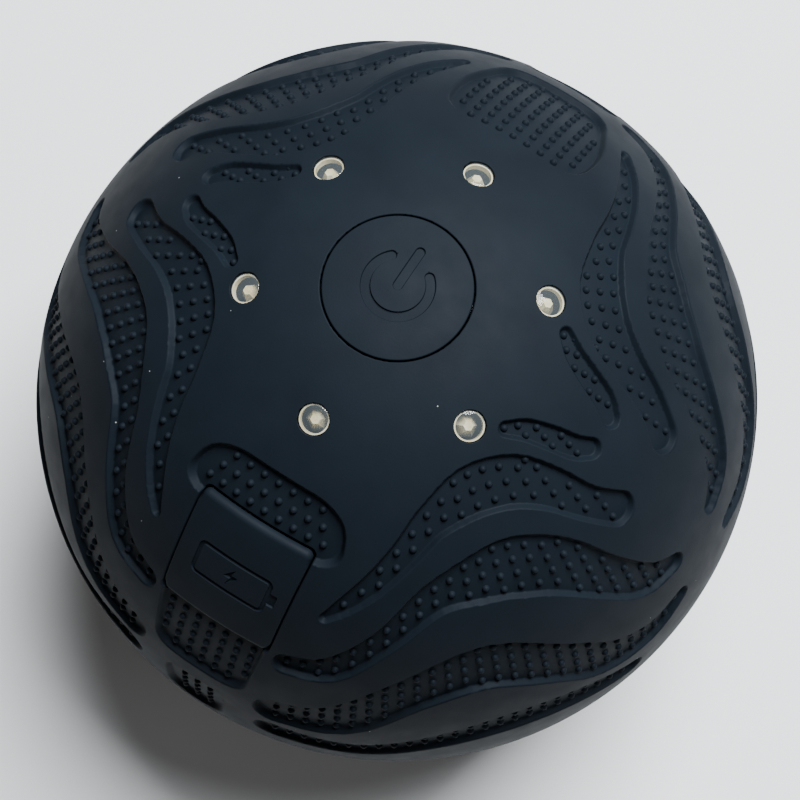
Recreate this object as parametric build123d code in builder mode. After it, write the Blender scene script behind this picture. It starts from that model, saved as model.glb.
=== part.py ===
from build123d import *
import math
import os

# A vibrating massage ball: a silicone skin on two screwed plastic shells, a motor with two
# eccentric weights at the centre, two battery cells below it, a control board under the power
# button and a charging socket behind a hinged silicone flap.
# Millimetres. +Z runs through the power button, -Y through the charging flap, and the origin is
# the ball's centre. A place on the ball is an azimuth, counted from -Y towards +X, and a polar
# angle, counted from +Z.

# ---- the ball ------------------------------------------------------------------------------
ball_radius = 62.5
skin_thickness = 3.0
bond_gap = 0.1
shell_thickness = 2.4
skin_inner_radius = ball_radius - skin_thickness
shell_radius = skin_inner_radius - bond_gap
shell_inner_radius = shell_radius - shell_thickness
recess_depth = 1.1
cutter_top = 1.05 * ball_radius
wave_cutter_foot = 0.62 * ball_radius
panel_cutter_foot = 0.8 * ball_radius
beyond = 1.0

# ---- the power button ----------------------------------------------------------------------
button_radius = 10.95
button_opening_radius = 11.3
button_flange_radius = 13.4
button_cap_bottom = 58.4
button_flange_bottom = 53.9
button_flange_top = 55.1
button_wall = 1.5
stem_radius = 2.5
plunger_radius = 1.75
plunger_bottom = 42.0
plunger_top = 44.6
switch_size = 6.0
switch_top = 43.0
switch_bore_bottom = 41.3
switch_bore_gap = 0.06
symbol_depth = 0.4
power_ring_radius = 4.7
power_stroke = 1.6
power_bar_reach = 6.0
power_gap_half_width = 2.4

# ---- the six lights ------------------------------------------------------------------------
light_count = 6
light_polar = 20.84
light_radius = 2.3
light_fit = 0.05
light_foot_radius = 44.8
light_stem_radius = 1.9
light_collar_radius = 3.2
light_collar_bottom = 54.0
light_collar_thickness = 1.4
led_circle = 15.6
led_thickness = 1.2
led_width = 2.8
led_length = 3.5

# ---- boards --------------------------------------------------------------------------------
board_bottom = 38.0
board_thickness = 1.6
board_top = board_bottom + board_thickness
control_board_radius = 26.0
standoff_azimuths = [30, 150, 210, 330]
standoff_circle = 21.5
standoff_radius = 2.6
board_screw_radius = 1.0
board_screw_reach = 7.0
board_screw_head = 1.4
screw_clearance = 0.2
screw_head_thickness = 2.0
plug_height = 5.0
plug_half_width = 4.0
plug_places = [(15, 0), (16, 11), (0, -17)]
lead_radius = 0.6
CHIPS = [((-4, 4), (-4, 4), 1.2), ((-12, -8), (2, 8), 1.6), ((-4, 2), (10, 14), 1.6)]

# ---- the charging port ---------------------------------------------------------------------
port_polar = 47.2
flap_width = 19.2
flap_thickness = 2.2
flap_free_polar = 37.3
flap_hinge_polar = 55.9
flap_gap = 0.35
flap_corner = 1.2
flap_underside = ball_radius - flap_thickness
hinge_radius = flap_underside + flap_thickness / 2
barrel_radius = flap_thickness / 2
well_width = 14.0
well_height = 12.4
well_wall = 1.5
well_corner = 2.0
well_floor = 52.0
bezel_back = 50.4
bezel_top = 59.9
bezel_clearance = 0.1
bezel_hole_foot = 45.0
socket_width = 8.94
socket_height = 3.26
socket_depth = 7.35
socket_wall = 0.3
socket_back = 1.0
tongue_width = 6.7
tongue_height = 0.7
tongue_setback = 0.6
small_board_thickness = 1.2
socket_mouth = 52.6
bezel_flange = 2.0
flange_back = 53.5
charge_board_back = 40.0
charge_board_width = 16.0
flap_rib_x = 5.8
flap_rib_width = 1.2
flap_rib_length = 6.0
flap_rib_foot = 58.0
flange_gap = 0.2
hinge_web = flap_corner + 0.5
cell_mark_width = 13.0
cell_mark_height = 6.6
cell_mark_corner = 1.2
mark_stroke = 0.8
terminal_width = 1.4
terminal_height = 2.4
BOLT_MARK = [(0.6, 1.9), (-1.3, -0.4), (-0.1, -0.4), (-0.6, -1.9), (1.3, 0.4), (0.1, 0.4)]

# ---- motor and weights ---------------------------------------------------------------------
can_radius = 15.5
can_half_length = 22.0
can_wall = 1.2
shaft_radius = 1.6
shaft_half_length = 39.5
bush_radius = 4.0
bush_length = 4.0
running_gap = 0.03
armature_radius = 10.0
armature_half_length = 13.0
magnet_inner_radius = 11.0
magnet_gap = 4.0
armature_poles = 3
armature_slot_depth = 6.0
armature_slot_width = 1.6
weight_radius = 17.0
weight_hub_radius = 5.0
weight_inner_face = 27.0
weight_thickness = 10.0
pad_thickness = 1.5
pad_middle = 12.5
pad_width = 7.0
commutator_radius = 4.0
commutator_low = 14.0
commutator_length = 4.0
brush_gap = 0.3
brush_length = 5.0
brush_half_width = 1.5
grub_radius = 1.25
cradle_half_width = 25.0
cradle_half_length = 18.0
cradle_shelf = 13.0
cradle_foot = -42.0
cradle_base = 4.0
pedestal_half_width = 11.0
window_half_width = 7.5
window_top = -22.0
clamp_thickness = 2.5
clamp_ear = 4.0
small_screw_radius = 1.1
cradle_screw_x = 11.0
cradle_screw_bottom = -50.0
clamp_screw_bottom = -10.0
clamp_screw_places = [(-12, -22), (12, -22), (-12, 22), (12, 22)]
post_radius = 4.0

# ---- battery -------------------------------------------------------------------------------
cell_radius = 9.2
cell_half_length = 32.5
cell_side = 22.0
cell_height = -24.0
tab_overlap = 4.0
tab_half_height = 3.0
protection_half_length = 12.0
protection_half_height = 5.0
tray_gap = 0.5
tray_base = 2.0
tray_screw_head = 1.6
tab_thickness = 0.3
tray_inner = 11.8
tray_outer = 31.0
tray_half_length = 24.0
tray_bottom = -36.0
tray_top = -28.0
tray_screw_x = 21.2
tray_screw_bottom = -45.0
tray_post_radius = 3.0

# ---- shell joint ---------------------------------------------------------------------------
boss_circle = 48.0
boss_radius = 4.5
shell_screw_radius = 1.5
shell_screw_head_radius = 2.8
shell_screw_head_level = -19.0
shell_screw_top = 10.0
gasket_radius = 58.1
gasket_width = 1.0
rib_thickness = 1.6
rib_root = 0.4
upper_boss_top = 14.0
lower_boss_bottom = -36.0
screw_well_radius = 3.0
lip_radius = 56.6
lip_thickness = 1.4
lip_depth = 3.0
lip_height = 9.0

# ---- recesses in one quarter of one half of the skin: (azimuth, polar, half-width) in degrees --
SHORT_WAVE = [
    (70.5, 23.7, 1.3),
    (75.8, 25.7, 1.7),
    (80.0, 29.1, 1.9),
    (82.8, 32.4, 1.9),
    (85.6, 34.5, 1.7),
]
FIRST_WAVE = [
    (19.0, 47.5, 1.0),
    (24.1, 43.6, 1.8),
    (35.9, 34.9, 2.4),
    (42.3, 31.4, 2.9),
    (53.1, 29.1, 3.9),
    (64.0, 30.2, 3.9),
    (71.6, 34.2, 3.2),
    (76.8, 39.8, 2.7),
    (81.3, 44.3, 2.8),
]
SECOND_WAVE = [
    (14.0, 58.3, 2.2),
    (21.1, 57.1, 2.5),
    (29.8, 50.6, 2.2),
    (40.0, 43.3, 2.9),
    (52.8, 41.5, 4.7),
    (59.6, 42.7, 5.0),
    (65.9, 45.9, 4.5),
    (71.9, 51.8, 3.6),
    (78.5, 59.2, 3.0),
    (84.0, 61.8, 2.0),
]
THIRD_WAVE = [
    (13.5, 72.3, 3.6),
    (22.8, 70.3, 4.2),
    (34.4, 61.7, 3.9),
    (47.4, 57.7, 4.8),
    (59.4, 63.2, 4.2),
    (67.5, 69.5, 4.0),
    (75.5, 72.2, 3.2),
    (82.5, 71.0, 2.0),
]
FOURTH_WAVE = [
    (13.5, 80.6, 3.4),
    (26.0, 81.3, 3.0),
    (38.0, 77.3, 3.0),
    (49.0, 75.0, 3.5),
    (60.0, 76.2, 3.2),
    (71.0, 80.2, 2.4),
]
WAVES = [SHORT_WAVE, FIRST_WAVE, SECOND_WAVE, THIRD_WAVE, FOURTH_WAVE]

# ---- recesses across the two middle lines: (arc across, polar) corners in degrees, one side --
# The panel below the flap starts inside the flap's pocket, so the open flap has room to swing.
FINGER_NOTCH = [(9.6, 29.2), (13.2, 34.2), (12.7, 38.7)]
GRIP_PATCH = [(10.3, 30.0), (12.9, 37.0), (8.3, 52.5)]
FLAP_PANEL = [(8.9, 54.4), (7.9, 70.2)]
UPPER_PANEL = [(8.4, 57.4), (7.9, 70.2)]
LOWER_PANEL = [(5.6, 73.8), (5.0, 86.6)]
PANEL_CORNER = 2.6


def direction(azimuth, polar):
    """Unit vector from the ball's centre to a place on it."""
    a = math.radians(azimuth)
    p = math.radians(polar)
    return Vector(math.sin(p) * math.sin(a), -math.sin(p) * math.cos(a), math.cos(p))


def tangent_plane(azimuth, polar, height):
    """Plane across the radius, with its y axis towards the pole."""
    a = math.radians(azimuth)
    outward = direction(azimuth, polar)
    return Plane(origin=outward * height, x_dir=(math.cos(a), math.sin(a), 0), z_dir=outward)


def seen_on(plane, place):
    """Where the radius through a place crosses a tangent plane, as a share of its height."""
    depth = place.dot(plane.z_dir)
    return (place.dot(plane.x_dir) / depth, place.dot(plane.y_dir) / depth)


def turned(place, towards, degrees):
    """A unit vector swung from place towards a second one at right angles to it."""
    angle = math.radians(degrees)
    return place * math.cos(angle) + towards * math.sin(angle)


def wave_outline(wave):
    """Places around a wave's edge: along one side, round the end and back along the other."""
    middles = [direction(azimuth, polar) for azimuth, polar, _ in wave]
    one_side = []
    other_side = []
    for index, (_, _, half_width) in enumerate(wave):
        before = middles[max(index - 1, 0)]
        after = middles[min(index + 1, len(wave) - 1)]
        middle = middles[index]
        along = (after - before) - middle * (after - before).dot(middle)
        along = along.normalized()
        across = middle.cross(along)
        one_side.append(turned(middle, across, half_width))
        other_side.append(turned(middle, across, -half_width))
        if index == 0:
            first_tip = turned(middle, along, -half_width)
        if index == len(wave) - 1:
            last_tip = turned(middle, along, half_width)
    return one_side + [last_tip] + other_side[::-1] + [first_tip]


def panel_outline(corners, azimuth):
    """The corners of a recess that is centred on the middle line at an azimuth."""
    outline = []
    for side in (1, -1):
        for across, polar in corners[::side]:
            level = direction(azimuth, polar)
            east = tangent_plane(azimuth, polar, 1).x_dir
            outline.append(turned(level, east, side * across))
    return outline


def wave_cutter(wave):
    """What a wave takes off the ball: walls along the radius down to the recess floor."""
    azimuth, polar, _ = wave[len(wave) // 2]
    outline = wave_outline(wave)
    with BuildPart() as cutter:
        for height in (wave_cutter_foot, cutter_top):
            plane = tangent_plane(azimuth, polar, height)
            points = [seen_on(plane, place) for place in outline]
            with BuildSketch(plane):
                with BuildLine():
                    Spline(*[(x * height, y * height) for x, y in points], periodic=True)
                make_face()
        loft(ruled=True)
        Sphere(ball_radius - recess_depth, mode=Mode.SUBTRACT)
    return cutter.part


def panel_cutter(corners, azimuth):
    """What a straight-sided recess with rounded corners takes off the ball."""
    polar = sum(level for _, level in corners) / len(corners)
    outline = panel_outline(corners, azimuth)
    with BuildPart() as cutter:
        for height in (panel_cutter_foot, cutter_top):
            plane = tangent_plane(azimuth, polar, height)
            points = [seen_on(plane, place) for place in outline]
            corner = height * math.radians(PANEL_CORNER)
            with BuildSketch(plane) as face:
                with BuildLine():
                    Polyline(*[(x * height, y * height) for x, y in points], close=True)
                make_face()
                fillet(face.vertices(), corner)
        loft(ruled=True)
        Sphere(ball_radius - recess_depth, mode=Mode.SUBTRACT)
    return cutter.part


def port_plane(height):
    """Plane across the charging port's axis."""
    return tangent_plane(0, port_polar, height)


def above_port(polar, radius=ball_radius):
    """How far above the port's axis a polar angle lies at a radius."""
    return radius * math.sin(math.radians(port_polar - polar))


def port_block(low, high, width, bottom, top, corner):
    """Block along the port's axis, between two heights above it."""
    with BuildPart() as block:
        with BuildSketch(port_plane(low)):
            with Locations((0, (top + bottom) / 2)):
                RectangleRounded(width, top - bottom, corner)
        extrude(amount=high - low)
    return block.part


wave_cutters = [wave_cutter(wave) for wave in WAVES]
notch_cutter = panel_cutter(FINGER_NOTCH, 0)
grip_cutter = panel_cutter(GRIP_PATCH, 180)
flap_panel = panel_cutter(FLAP_PANEL, 0)
front_panel = panel_cutter(UPPER_PANEL, 0)
back_panels = [panel_cutter(UPPER_PANEL, 180), panel_cutter(LOWER_PANEL, 180)]
low_front_panel = panel_cutter(LOWER_PANEL, 0)
flap_top = above_port(flap_free_polar)
hinge_drop = above_port(flap_hinge_polar, hinge_radius)
hinge_reach = hinge_radius * math.cos(math.radians(port_polar - flap_hinge_polar))
flap_pocket = port_block(
    well_floor,
    ball_radius + beyond,
    flap_width + 2 * flap_gap,
    hinge_drop - barrel_radius - flap_gap,
    flap_top + flap_gap,
    flap_corner,
)


def cut_waves():
    """Cut the waves of one quarter and their mirror images out of the current skin."""
    for cutter in wave_cutters:
        across = cutter.mirror(Plane.YZ)
        add(cutter, mode=Mode.SUBTRACT)
        add(across, mode=Mode.SUBTRACT)
        add(cutter.mirror(Plane.XZ), mode=Mode.SUBTRACT)
        add(across.mirror(Plane.XZ), mode=Mode.SUBTRACT)


def light_azimuth(number):
    """Azimuth of one of the six lights."""
    return number * 360 / light_count


def light_plane(number, height):
    """Plane across one light's axis."""
    return tangent_plane(light_azimuth(number), light_polar, height)


def cut_light_holes():
    """Cut the six light holes out of the current part."""
    for number in range(light_count):
        with BuildSketch(light_plane(number, light_foot_radius)) as hole:
            Circle(light_radius + light_fit)
        extrude(hole.sketch, amount=ball_radius - light_foot_radius + beyond, mode=Mode.SUBTRACT)


def add_column(x, y, low, high, radius, mode=Mode.ADD):
    """Add or cut an upright cylinder."""
    with BuildSketch(Plane.XY.offset(low)) as column:
        with Locations((x, y)):
            Circle(radius)
    extrude(column.sketch, amount=high - low, mode=mode)


def add_bar(low, high, radius, mode=Mode.ADD):
    """Add or cut a cylinder along the motor's axis."""
    with BuildSketch(Plane.YZ.offset(low)) as bar:
        Circle(radius)
    extrude(bar.sketch, amount=high - low, mode=mode)


def add_box(x, y, z, mode=Mode.ADD):
    """Add or cut a box given its low and high values along each axis."""
    with BuildSketch(Plane.XY.offset(z[0])) as base:
        with Locations(((x[0] + x[1]) / 2, (y[0] + y[1]) / 2)):
            Rectangle(x[1] - x[0], y[1] - y[0])
    extrude(base.sketch, amount=z[1] - z[0], mode=mode)


def add_port_box(low, high, width, bottom, top, mode=Mode.ADD):
    """Add or cut a square-cornered block along the port's axis."""
    with BuildSketch(port_plane(low)) as base:
        with Locations((0, (top + bottom) / 2)):
            Rectangle(width, top - bottom)
    extrude(base.sketch, amount=high - low, mode=mode)


def keep_inside(radius):
    """Trim the current part to a ball."""
    Sphere(radius, mode=Mode.INTERSECT)


def half_shell():
    """Start the upper plastic half shell, with the seat for the seal at its edge."""
    Sphere(shell_radius)
    Sphere(shell_inner_radius, mode=Mode.SUBTRACT)
    split(bisect_by=Plane.XY)
    with BuildSketch() as seat:
        Circle(gasket_radius + gasket_width / 2)
        Circle(gasket_radius - gasket_width / 2, mode=Mode.SUBTRACT)
    extrude(seat.sketch, amount=gasket_width / 2, mode=Mode.SUBTRACT)


def ribbed_bosses(low, high, rib_low, rib_high):
    """The four shell screw bosses, each with a rib to the wall."""
    reach = shell_inner_radius + rib_root
    half = rib_thickness / 2
    with BuildPart() as bosses:
        add_box((-reach, reach), (-half, half), (rib_low, rib_high))
        add_box((-half, half), (-reach, reach), (rib_low, rib_high))
        add_column(0, 0, rib_low, rib_high, boss_circle, Mode.SUBTRACT)
        for x, y in boss_places:
            add_column(x, y, low, high, boss_radius)
        keep_inside(reach)
    return bosses.part


def board_standoffs():
    """Posts that hang from the upper shell and carry the control board."""
    with BuildPart() as posts:
        for x, y in standoff_places:
            add_column(x, y, board_top, shell_radius, standoff_radius)
            add_column(x, y, board_top, board_top + board_screw_reach + beyond, board_screw_radius,
                       Mode.SUBTRACT)
        keep_inside(shell_radius - shell_thickness / 2)
    return posts.part


def floor_posts():
    """Posts that stand on the lower shell under the motor's cradle and the battery tray."""
    with BuildPart() as posts:
        for x in (-cradle_screw_x, cradle_screw_x):
            add_column(x, 0, -shell_radius, cradle_foot, post_radius)
            add_column(x, 0, cradle_screw_bottom, cradle_foot, small_screw_radius, Mode.SUBTRACT)
        for x in (-tray_screw_x, tray_screw_x):
            add_column(x, 0, -shell_radius, tray_bottom, tray_post_radius)
            add_column(x, 0, tray_screw_bottom, tray_bottom, small_screw_radius, Mode.SUBTRACT)
        keep_inside(shell_radius - shell_thickness / 2)
    return posts.part


def inner_flange():
    """The flange that holds the port's bezel against the inside of the shell."""
    tall = well_height / 2 + well_wall + bezel_flange
    wide = well_width + 2 * (well_wall + bezel_flange)
    with BuildPart() as flange:
        add_port_box(flange_back, ball_radius, wide, -tall, tall)
        keep_inside(shell_inner_radius - flange_gap)
    return flange.part


def save(built, name):
    """Label a finished piece and write it out."""
    built.part.label = name
    export_step(built.part, "parts/" + name + ".step")


boss_places = [(boss_circle, 0), (-boss_circle, 0), (0, boss_circle), (0, -boss_circle)]
standoff_places = []
for azimuth in standoff_azimuths:
    turn = math.radians(azimuth)
    standoff_places.append((standoff_circle * math.sin(turn), -standoff_circle * math.cos(turn)))

os.makedirs("parts", exist_ok=True)

# ---- silicone skin, in two halves that meet at the equator -----------------------------------
with BuildPart() as skin_upper:
    Sphere(ball_radius)
    Sphere(skin_inner_radius, mode=Mode.SUBTRACT)
    split(bisect_by=Plane.XY)
    cut_waves()
    add([notch_cutter, grip_cutter, flap_panel, low_front_panel] + back_panels, mode=Mode.SUBTRACT)
    add(flap_pocket, mode=Mode.SUBTRACT)
    Cylinder(button_opening_radius, 2 * ball_radius, mode=Mode.SUBTRACT)
    cut_light_holes()
save(skin_upper, "skin_upper")

with BuildPart() as skin_lower:
    Sphere(ball_radius)
    Sphere(skin_inner_radius, mode=Mode.SUBTRACT)
    split(bisect_by=Plane.XY)
    cut_waves()
    add([grip_cutter, grip_cutter.mirror(Plane.XZ)], mode=Mode.SUBTRACT)
    add([front_panel, low_front_panel] + back_panels, mode=Mode.SUBTRACT)
    mirror(about=Plane.XY, mode=Mode.REPLACE)
save(skin_lower, "skin_lower")

# ---- plastic shells, their seal and screws ---------------------------------------------------
with BuildPart() as shell_upper:
    half_shell()
    with BuildSketch(Plane.XY.offset(-lip_depth)):
        Circle(lip_radius)
        Circle(lip_radius - lip_thickness, mode=Mode.SUBTRACT)
    extrude(amount=lip_depth + lip_height)
    add(ribbed_bosses(0, upper_boss_top, 0, upper_boss_top))
    for x, y in boss_places:
        add_column(x, y, 0, shell_screw_top + beyond, shell_screw_radius, Mode.SUBTRACT)
    add(board_standoffs())
    Cylinder(button_opening_radius, 2 * ball_radius, mode=Mode.SUBTRACT)
    cut_light_holes()
    half_tall = well_height / 2 + well_wall + bezel_clearance
    wide = well_width + 2 * (well_wall + bezel_clearance)
    add_port_box(bezel_hole_foot, cutter_top, wide, -half_tall, half_tall, Mode.SUBTRACT)
save(shell_upper, "shell_upper")

with BuildPart() as shell_lower:
    half_shell()
    mirror(about=Plane.XY, mode=Mode.REPLACE)
    add(ribbed_bosses(lower_boss_bottom, 0, lower_boss_bottom, -lip_depth - 1))
    for x, y in boss_places:
        add_column(x, y, -shell_radius, shell_screw_head_level, screw_well_radius, Mode.SUBTRACT)
        add_column(
            x, y, shell_screw_head_level, 0, shell_screw_radius + screw_clearance, Mode.SUBTRACT
        )
    add(floor_posts())
save(shell_lower, "shell_lower")

with BuildPart() as shell_gasket:
    with BuildSketch(Plane.XY.offset(-gasket_width / 2)):
        Circle(gasket_radius + gasket_width / 2)
        Circle(gasket_radius - gasket_width / 2, mode=Mode.SUBTRACT)
    extrude(amount=gasket_width)
save(shell_gasket, "shell_gasket")

with BuildPart() as shell_screws:
    for x, y in boss_places:
        head_foot = shell_screw_head_level - screw_head_thickness
        add_column(x, y, head_foot, shell_screw_head_level, shell_screw_head_radius)
        add_column(x, y, shell_screw_head_level, shell_screw_top, shell_screw_radius)
save(shell_screws, "shell_screws")

# ---- power button ----------------------------------------------------------------------------
with BuildPart() as power_symbol:
    with BuildSketch(Plane.XY.offset(button_cap_bottom)):
        Circle(power_ring_radius + power_stroke / 2)
        Circle(power_ring_radius - power_stroke / 2, mode=Mode.SUBTRACT)
        with Locations((0, power_bar_reach / 2)):
            gap_height = power_bar_reach + 2 * beyond
            Rectangle(2 * power_gap_half_width, gap_height, mode=Mode.SUBTRACT)
            SlotOverall(power_bar_reach + power_stroke, power_stroke, rotation=90)
    extrude(amount=ball_radius)
    Sphere(ball_radius - symbol_depth, mode=Mode.SUBTRACT)

with BuildPart() as power_button:
    add_column(0, 0, button_cap_bottom, ball_radius + beyond, button_radius)
    keep_inside(ball_radius)
    add(power_symbol.part, mode=Mode.SUBTRACT)
save(power_button, "power_button")

with BuildPart() as button_carrier:
    add_column(0, 0, button_flange_bottom, button_cap_bottom, button_radius)
    add_column(0, 0, button_flange_bottom, button_flange_top, button_flange_radius)
    inside_top = button_cap_bottom - button_wall
    add_column(0, 0, button_flange_bottom, inside_top, button_radius - button_wall, Mode.SUBTRACT)
    add_column(0, 0, plunger_top, button_cap_bottom, stem_radius)
save(button_carrier, "button_carrier")

with BuildPart() as switch_plunger:
    add_column(0, 0, plunger_bottom, plunger_top, plunger_radius)
save(switch_plunger, "switch_plunger")

with BuildPart() as power_switch:
    half = switch_size / 2
    add_box((-half, half), (-half, half), (board_top, switch_top))
    bore = plunger_radius + switch_bore_gap
    add_column(0, 0, switch_bore_bottom, switch_top, bore, Mode.SUBTRACT)
save(power_switch, "power_switch")

# ---- lights: clear pipes from the board to the skin ------------------------------------------
for number in range(light_count):
    with BuildPart() as light_pipe:
        with BuildSketch(light_plane(number, light_foot_radius)):
            Circle(light_stem_radius)
        extrude(amount=light_collar_bottom - light_foot_radius)
        with BuildSketch(light_plane(number, light_collar_bottom)):
            Circle(light_collar_radius)
        extrude(amount=light_collar_thickness)
        with BuildSketch(light_plane(number, light_collar_bottom)):
            Circle(light_radius)
        extrude(amount=ball_radius - light_collar_bottom)
        keep_inside(ball_radius)
    save(light_pipe, "light_pipe_" + str(number + 1))

with BuildPart() as led_chips:
    with BuildSketch(Plane.XY.offset(board_top)):
        with PolarLocations(led_circle, light_count, start_angle=30):
            Rectangle(led_width, led_length)
    extrude(amount=led_thickness)
save(led_chips, "led_chips")

# ---- control board and what is on it -----------------------------------------------------------
with BuildPart() as control_board:
    add_column(0, 0, board_bottom, board_top, control_board_radius)
    for x, y in standoff_places:
        add_column(
            x, y, board_bottom, board_top, board_screw_radius + screw_clearance, Mode.SUBTRACT
        )
save(control_board, "control_board")

with BuildPart() as board_screws:
    for x, y in standoff_places:
        add_column(x, y, board_bottom - board_screw_head, board_bottom, 2 * board_screw_radius)
        add_column(x, y, board_bottom, board_top + board_screw_reach, board_screw_radius)
save(board_screws, "board_screws")

with BuildPart() as control_chips:
    for x_range, y_range, height in CHIPS:
        add_box(x_range, y_range, (board_bottom - height, board_bottom))
save(control_chips, "control_chips")

with BuildPart() as lead_plugs:
    for x, y in plug_places:
        x_range = (x - plug_half_width, x + plug_half_width)
        y_range = (y - plug_half_width, y + plug_half_width)
        add_box(x_range, y_range, (board_bottom - plug_height, board_bottom))
save(lead_plugs, "lead_plugs")

# ---- charging port ---------------------------------------------------------------------------
with BuildPart() as port_bezel:
    half_tall = well_height / 2 + well_wall
    add_port_box(bezel_back, ball_radius, well_width + 2 * well_wall, -half_tall, half_tall)
    keep_inside(bezel_top)
    add(inner_flange())
    half_well = well_height / 2
    well = port_block(
        well_floor, ball_radius + beyond, well_width, -half_well, half_well, well_corner
    )
    add(well, mode=Mode.SUBTRACT)
    with BuildSketch(port_plane(bezel_back)):
        SlotOverall(socket_width, socket_height)
    extrude(amount=well_floor - bezel_back, mode=Mode.SUBTRACT)
save(port_bezel, "port_bezel")

with BuildPart() as usb_socket:
    with BuildSketch(port_plane(socket_mouth - socket_depth)):
        SlotOverall(socket_width, socket_height)
    extrude(amount=socket_depth)
    with BuildSketch(port_plane(socket_mouth - socket_depth + socket_back)):
        SlotOverall(socket_width - 2 * socket_wall, socket_height - 2 * socket_wall)
    extrude(amount=socket_depth - socket_back, mode=Mode.SUBTRACT)
save(usb_socket, "usb_socket")

with BuildPart() as usb_tongue:
    half = tongue_height / 2
    tongue_foot = socket_mouth - socket_depth + socket_back
    add_port_box(tongue_foot, socket_mouth - tongue_setback, tongue_width, -half, half)
save(usb_tongue, "usb_tongue")

with BuildPart() as charge_board:
    top = -socket_height / 2
    low = top - small_board_thickness
    add_port_box(charge_board_back, bezel_back, charge_board_width, low, top)
save(charge_board, "charge_board")

with BuildPart() as charge_symbol:
    with BuildSketch(port_plane(well_floor)):
        inner_width = cell_mark_width - 2 * mark_stroke
        inner_height = cell_mark_height - 2 * mark_stroke
        RectangleRounded(cell_mark_width, cell_mark_height, cell_mark_corner)
        RectangleRounded(
            inner_width, inner_height, cell_mark_corner - mark_stroke, mode=Mode.SUBTRACT
        )
        with Locations((cell_mark_width / 2 + terminal_width / 2 - mark_stroke / 4, 0)):
            Rectangle(terminal_width, terminal_height)
        with BuildLine():
            Polyline(*BOLT_MARK, close=True)
        make_face()
    extrude(amount=ball_radius - well_floor + beyond)
    Sphere(ball_radius - symbol_depth, mode=Mode.SUBTRACT)

with BuildPart() as port_flap:
    add(port_block(well_floor, ball_radius + beyond, flap_width, hinge_drop, flap_top, flap_corner))
    keep_inside(ball_radius)
    Sphere(flap_underside, mode=Mode.SUBTRACT)
    barrel_middle = direction(0, port_polar) * hinge_reach + port_plane(1).y_dir * hinge_drop
    add_port_box(
        hinge_reach - barrel_radius,
        hinge_reach + barrel_radius,
        flap_width,
        hinge_drop,
        hinge_drop + hinge_web,
    )
    keep_inside(ball_radius)
    with BuildSketch(Plane(origin=barrel_middle - Vector(flap_width / 2, 0, 0), z_dir=(1, 0, 0))):
        Circle(barrel_radius)
    extrude(amount=flap_width)
    for side in (-1, 1):
        with BuildSketch(port_plane(flap_rib_foot)):
            with Locations((side * flap_rib_x, 0)):
                Rectangle(flap_rib_width, flap_rib_length)
        extrude(amount=ball_radius - flap_thickness / 2 - flap_rib_foot)
    add(charge_symbol.part, mode=Mode.SUBTRACT)
save(port_flap, "port_flap")

# ---- motor -----------------------------------------------------------------------------------
with BuildPart() as motor_can:
    add_bar(-can_half_length, can_half_length - can_wall, can_radius)
    add_bar(can_wall - can_half_length, can_half_length - can_wall, can_radius - can_wall, Mode.SUBTRACT)
    add_bar(-can_half_length, can_half_length, bush_radius, Mode.SUBTRACT)
save(motor_can, "motor_can")

with BuildPart() as motor_end_cap:
    add_bar(can_half_length - can_wall, can_half_length, can_radius)
    add_bar(can_half_length - can_wall, can_half_length, bush_radius, Mode.SUBTRACT)
save(motor_end_cap, "motor_end_cap")

for side, name in ((-1, "bush_left"), (1, "bush_right")):
    with BuildPart() as bush:
        middle = side * (can_half_length - can_wall / 2)
        add_bar(middle - bush_length / 2, middle + bush_length / 2, bush_radius)
        add_bar(-shaft_half_length, shaft_half_length, shaft_radius + running_gap, Mode.SUBTRACT)
    save(bush, name)

with BuildPart() as motor_magnets:
    add_bar(-armature_half_length, armature_half_length, can_radius - can_wall)
    add_bar(-armature_half_length, armature_half_length, magnet_inner_radius, Mode.SUBTRACT)
    gap = (-magnet_gap, magnet_gap)
    add_box((-can_half_length, can_half_length), (-can_radius, can_radius), gap, Mode.SUBTRACT)
save(motor_magnets, "motor_magnets")

with BuildPart() as motor_brushes:
    brush_low = commutator_radius + brush_gap
    for side in (-1, 1):
        x_range = (commutator_low + brush_half_width, can_half_length - can_wall)
        y_range = sorted((side * brush_low, side * (brush_low + brush_length)))
        add_box(x_range, y_range, (-brush_half_width, brush_half_width))
save(motor_brushes, "motor_brushes")

with BuildPart() as motor_shaft:
    add_bar(-shaft_half_length, shaft_half_length, shaft_radius)
save(motor_shaft, "motor_shaft")

with BuildPart() as armature:
    add_bar(-armature_half_length, armature_half_length, armature_radius)
    add_bar(-armature_half_length, armature_half_length, shaft_radius, Mode.SUBTRACT)
    with BuildSketch(Plane.YZ.offset(-armature_half_length)):
        with PolarLocations(armature_radius - armature_slot_depth / 3, armature_poles):
            Rectangle(armature_slot_depth, armature_slot_width)
    extrude(amount=2 * armature_half_length, mode=Mode.SUBTRACT)
save(armature, "armature")

with BuildPart() as commutator:
    add_bar(commutator_low, commutator_low + commutator_length, commutator_radius)
    add_bar(commutator_low, commutator_low + commutator_length, shaft_radius, Mode.SUBTRACT)
save(commutator, "commutator")

for side, name in ((-1, "weight_left"), (1, "weight_right")):
    with BuildPart() as weight:
        low = weight_inner_face if side > 0 else -weight_inner_face - weight_thickness
        add_bar(low, low + weight_thickness, weight_radius)
        x_range = (low, low + weight_thickness)
        add_box(x_range, (-weight_radius, weight_radius), (0, weight_radius), Mode.SUBTRACT)
        add_bar(low, low + weight_thickness, weight_hub_radius)
        add_bar(low, low + weight_thickness, shaft_radius, Mode.SUBTRACT)
        add_column(low + weight_thickness / 2, 0, 0, weight_hub_radius, grub_radius, Mode.SUBTRACT)
    save(weight, name)

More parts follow.
